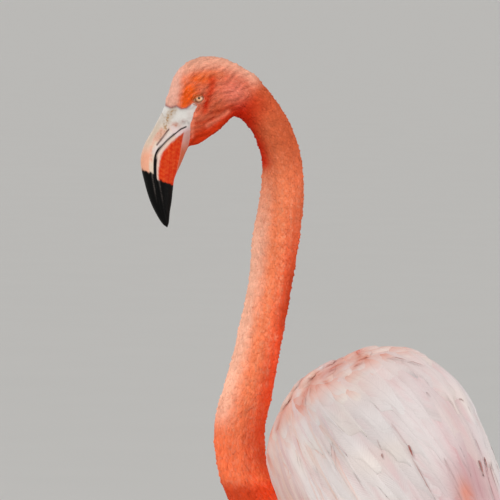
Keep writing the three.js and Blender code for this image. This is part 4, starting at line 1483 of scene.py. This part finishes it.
# %% Bare legs
leg_middle = 42.5  # the shin's and shank's distance from the bird's middle plane
leg_stops = [0.43, 0.55, 0.7, 0.85, 0.95], [0, 0.05, 0.13, 0.3, 0.5, 0.7, 0.88]
leg_widths = [14.5, 13.2, 12.6, 13.8, 17.0, 20.6, 19.0, 14.0, 12.0, 11.4, 11.4, 11.6, 13.0]


def leg_surface(side):
    top, joint, root = leg_line(side)
    line = [top + (joint - top) * s for s in leg_stops[0]]
    line += [joint + (root - joint) * s for s in leg_stops[1]] + [root * [1, 1, 0] + [0, 0, 17.5]]
    return limb(line, leg_widths, 0.94)


def plates(place, power):
    """Plates in a row: 1 in the middle of each, and 0 in the grooves, at the whole numbers."""
    return 1 - np.abs(2 * (place % 1) - 1) ** power


def scale_relief(down, round_it):
    """Height of horny plates, 0 in the grooves: broad in front, and small scales elsewhere."""
    rows = down / 5.0
    small = rows * 1.8
    shift = 0.5 * (np.floor(small) % 2)
    cells = plates(small, 4) * plates(round_it * 14 / (2 * math.pi) + shift, 4)
    front = soft(np.cos(round_it), 0.1, 0.5)
    return plates(rows, 6) * front + cells * (1 - front)


for name, side in sides.items():
    leg = round_form(f"leg_{name}", leg_surface(side), 420, 28)
    p, line = points_of(leg), leg_line(side)[::-1]
    x, y, height = (p / MM - centre_shift).T
    axis = np.interp(height, [at[2] for at in line], [at[0] for at in line])
    relief = scale_relief(hip[2] - height, np.arctan2(y - side * leg_middle, axis - x))
    on_joint = hump(height, ankle[2], 26)
    move_points(leg, p + normals_of(leg) * ((relief - 1) * 0.42 * (1 - 0.5 * on_joint) * MM)[:, None])
    set_tint(leg, washed(
        hues["leg"], ("joint", np.clip(on_joint * 0.85 + 0.15 * ripple(p, 60), 0, 1)),
        ("grey", (1 - relief) * 0.45 + 0.08 * (ripple(p, 14) > 0.3))))
    add_piece(f"leg_{name}", leg, leg_mat, [f"shin_{name}", f"shank_{name}"])

# %% [markdown]
# ## Feet
# Three long toes spread on the floor with a thick web between them, and a short hind toe stands
# above it. Toes, web and knuckle are separate forms at first; a voxel remesh grows them into one
# skin, whose soles are then pressed flat at floor level. The claws stay separate horn.

# %% Webbed feet
toe_heights = {-0.06: 6, 0.0: 6.5, 0.15: 5.6, 0.3: 5, 0.45: 4.6, 0.6: 4.3, 0.75: 3.9,
               0.9: 3.2, 1.0: 2.6}  # along the toe, as shares of its length
toe_joints = np.array([0.9, 1.12, 1.0, 0.9, 1.03, 0.86, 0.95, 0.74, 0.42])  # shares of its thickness
hind_toe = [(0, 0, 11), (6, 0, 9.5), (13, 0, 6.0), (18, 0, 3.2)]
knuckle = [(0, 0, 19.4), (0, 0, 15), (-1, 0, 10), (-2, 0, 5)]


def add_tube(shape, line, widths, flat=1.0, rings=24, around=18):
    """Adds a closed tube to a bmesh."""
    form = round_form("tube", limb(line, widths, flat, (0.0, 1, 0.15)), rings, around)
    shape.from_mesh(form)
    bpy.data.meshes.remove(form)


def toe_way(side, angle):
    turn = math.radians(angle) * side
    return np.array([-math.cos(turn), math.sin(turn), 0.0])


def add_web(shape, ground, side, toe, next_toe):
    """A thick web between two toes: s runs from toe to toe, and r outwards from the foot."""
    (a0, l0, _), (a1, l1, _) = toe, next_toe
    verts = bmesh.ops.create_grid(shape, x_segments=24, y_segments=24, size=1)["verts"]
    for v in verts:
        s, r = v.co.x / 2 + 0.5, v.co.y / 2 + 0.5
        way = toe_way(side, a0 + (a1 - a0) * s)
        edge = 0.9 * (l0 + (l1 - l0) * s) * (1 - 0.34 * math.sin(math.pi * s) ** 0.8)
        sag = 0.35 * math.sin(s * 16 + r * 3) * r + 0.6 * math.sin(math.pi * s)
        v.co = row_frame(ground + way * edge * r + [0, 0, 2.9 - sag + 0.5 * (1 - r)])
    faces = list({f for v in verts for f in v.link_faces})
    bmesh.ops.recalc_face_normals(shape, faces=faces)
    bmesh.ops.solidify(shape, geom=faces, thickness=2.0 * MM)


def foot_mesh(name, ground, side):
    shape = bmesh.new()
    for angle, length, thick in toes:
        way = toe_way(side, angle)
        add_tube(shape, [ground + way * length * s + [0, 0, h] for s, h in toe_heights.items()],
                 toe_joints * thick)
    for line, widths in ((hind_toe, [6, 6.5, 5.5, 3]), (knuckle, [12.6, 14, 17, 14])):
        add_tube(shape, ground + line, widths)
    for pair in zip(sorted(toes)[:-1], sorted(toes)[1:]):
        add_web(shape, ground, side, *pair)
    mesh = with_modifier(written(shape, name), "REMESH", mode="VOXEL", voxel_size=0.95 * MM)
    return with_modifier(mesh, "SMOOTH", factor=0.5, iterations=3)


def claws(ground, side):
    """Blunt claws: cones whose bases sit in the toes' ends."""
    shape = bmesh.new()
    for angle, length, _ in toes:
        way = toe_way(side, angle)
        add_tube(shape, [ground + way * (length + past) + [0, 0, h] for past, h in
                         ((-3.0, 3.0), (2.5, 3.1), (6.2, 2.2), (8.6, 1.0))],
                 [4.6, 4.4, 3.0, 0.9], 0.8, rings=14, around=14)
    mesh = turned_out(written(shape, "claws"))
    p = points_of(mesh)
    p[:, 2] = np.maximum(p[:, 2], 0.0)
    move_points(mesh, p)
    return mesh


for name, side in sides.items():
    ground = leg_line(side)[2] * [1, 1, 0]
    mesh = foot_mesh(f"foot_{name}", ground, side)
    p, normals = points_of(mesh), normals_of(mesh)
    local = p / MM - centre_shift - ground
    off, down = [], []  # distances from each toe's line and along it
    for angle, *_ in toes:
        way = toe_way(side, angle)
        down.append(local @ way)
        off.append(np.hypot(local[:, 0] - down[-1] * way[0], local[:, 1] - down[-1] * way[1]))
    down = np.array(down)[np.argmin(off, axis=0), np.arange(len(p))]
    on_toe = soft(-np.min(off, axis=0), -7.0, -3.5)
    relief = plates(down / 3.2, 5) * on_toe + (0.5 + 0.5 * ripple(p, 3.2)) * (1 - on_toe)
    p = p + normals * ((relief - 1) * 0.32 * soft(normals[:, 2], 0.0, 0.5) * MM)[:, None]
    p[:, 2] = np.where(p[:, 2] < 0.5 * MM, 0.0, p[:, 2])
    move_points(mesh, p)
    set_tint(mesh, washed(hues["leg"], ("joint", 0.55 + 0 * on_toe), ("leg", on_toe * 0.6),
                          ("grey", (1 - relief) * 0.4), ("grey", soft(-p[:, 2], -1.0 * MM, 0.0) * 0.5)))
    add_piece(f"foot_{name}_skin", mesh, leg_mat, [f"foot_{name}"])
    mesh = claws(ground, side)
    set_tint(mesh, hues["claw"])
    add_piece(f"claws_{name}", mesh, claw_mat)

# %% [markdown]
# ## Floor, light and camera
# A plain pale floor and large soft lights, as in a portrait studio. The camera stands a little
# above the head's height and far away, with a long lens, and looks past the bird's left wing.

# %% Floor and lights
across_view = Vector((math.cos(neck_turn), math.sin(neck_turn), 0))
away = Vector((-math.sin(neck_turn), math.cos(neck_turn), 0))
aim = (Vector(centre_shift) - 130.7 * across_view + neck_offset * away) * MM
aim.z = 0.9865


def stage_floor():
    shape = bmesh.new()
    bmesh.ops.create_grid(shape, x_segments=1, y_segments=1, size=300)
    bmesh.ops.translate(shape, verts=shape.verts, vec=(0, 0, -0.0002))
    mesh = written(shape, "floor")
    floor = new_object("floor", mesh)
    mesh.materials.append(finish_material("painted studio floor", 0.8, 0.01, 40.0, 0.02))
    set_tint(mesh, linear("#dcdad6"))


def soft_light(name, place, size, power, colour):
    """A square lamp that looks at the aim; its place is across the view, away and up from there."""
    lamp = bpy.data.lights.new(name, "AREA")
    lamp.size, lamp.energy, lamp.color = size, power, colour
    light = new_object(name, lamp)
    light.location = aim + place[0] * across_view + place[1] * away + Vector((0, 0, place[2]))
    light.rotation_mode = "QUATERNION"
    light.rotation_quaternion = (aim - light.location).to_track_quat("-Z", "Y")


stage_floor()
soft_light("key", (-2.3, -1.9, 1.9), 1.8, 56, (1, 0.98, 0.95))
soft_light("fill", (2.4, -2.0, 0.6), 2.6, 62, (1, 0.99, 0.98))
soft_light("rim", (-1.6, 2.6, 1.6), 1.6, 30, (1, 0.98, 0.96))

world = bpy.data.worlds.new("studio")
world.use_nodes = True
sky = world.node_tree.nodes["Background"].inputs
sky["Color"].default_value, sky["Strength"].default_value = (0.88, 0.88, 0.88, 1), 0.75
bpy.context.scene.world = world
bpy.context.scene.view_settings.view_transform = "Standard"

# %% Camera
elevation, distance, frame_width, sensor = math.radians(3), 6.0, 0.525, 36
back = -away * math.cos(elevation) + Vector((0, 0, math.sin(elevation)))
lens = bpy.data.cameras.new("camera")
lens.sensor_width, lens.lens = sensor, sensor * distance / frame_width
camera = new_object("camera", lens)
camera.location = aim + distance * back
camera.rotation_mode = "QUATERNION"
camera.rotation_quaternion = back.to_track_quat("Z", "Y")
bpy.context.scene.camera = camera
print("lens", round(lens.lens, 1), "mm, camera at", [round(c, 3) for c in camera.location])
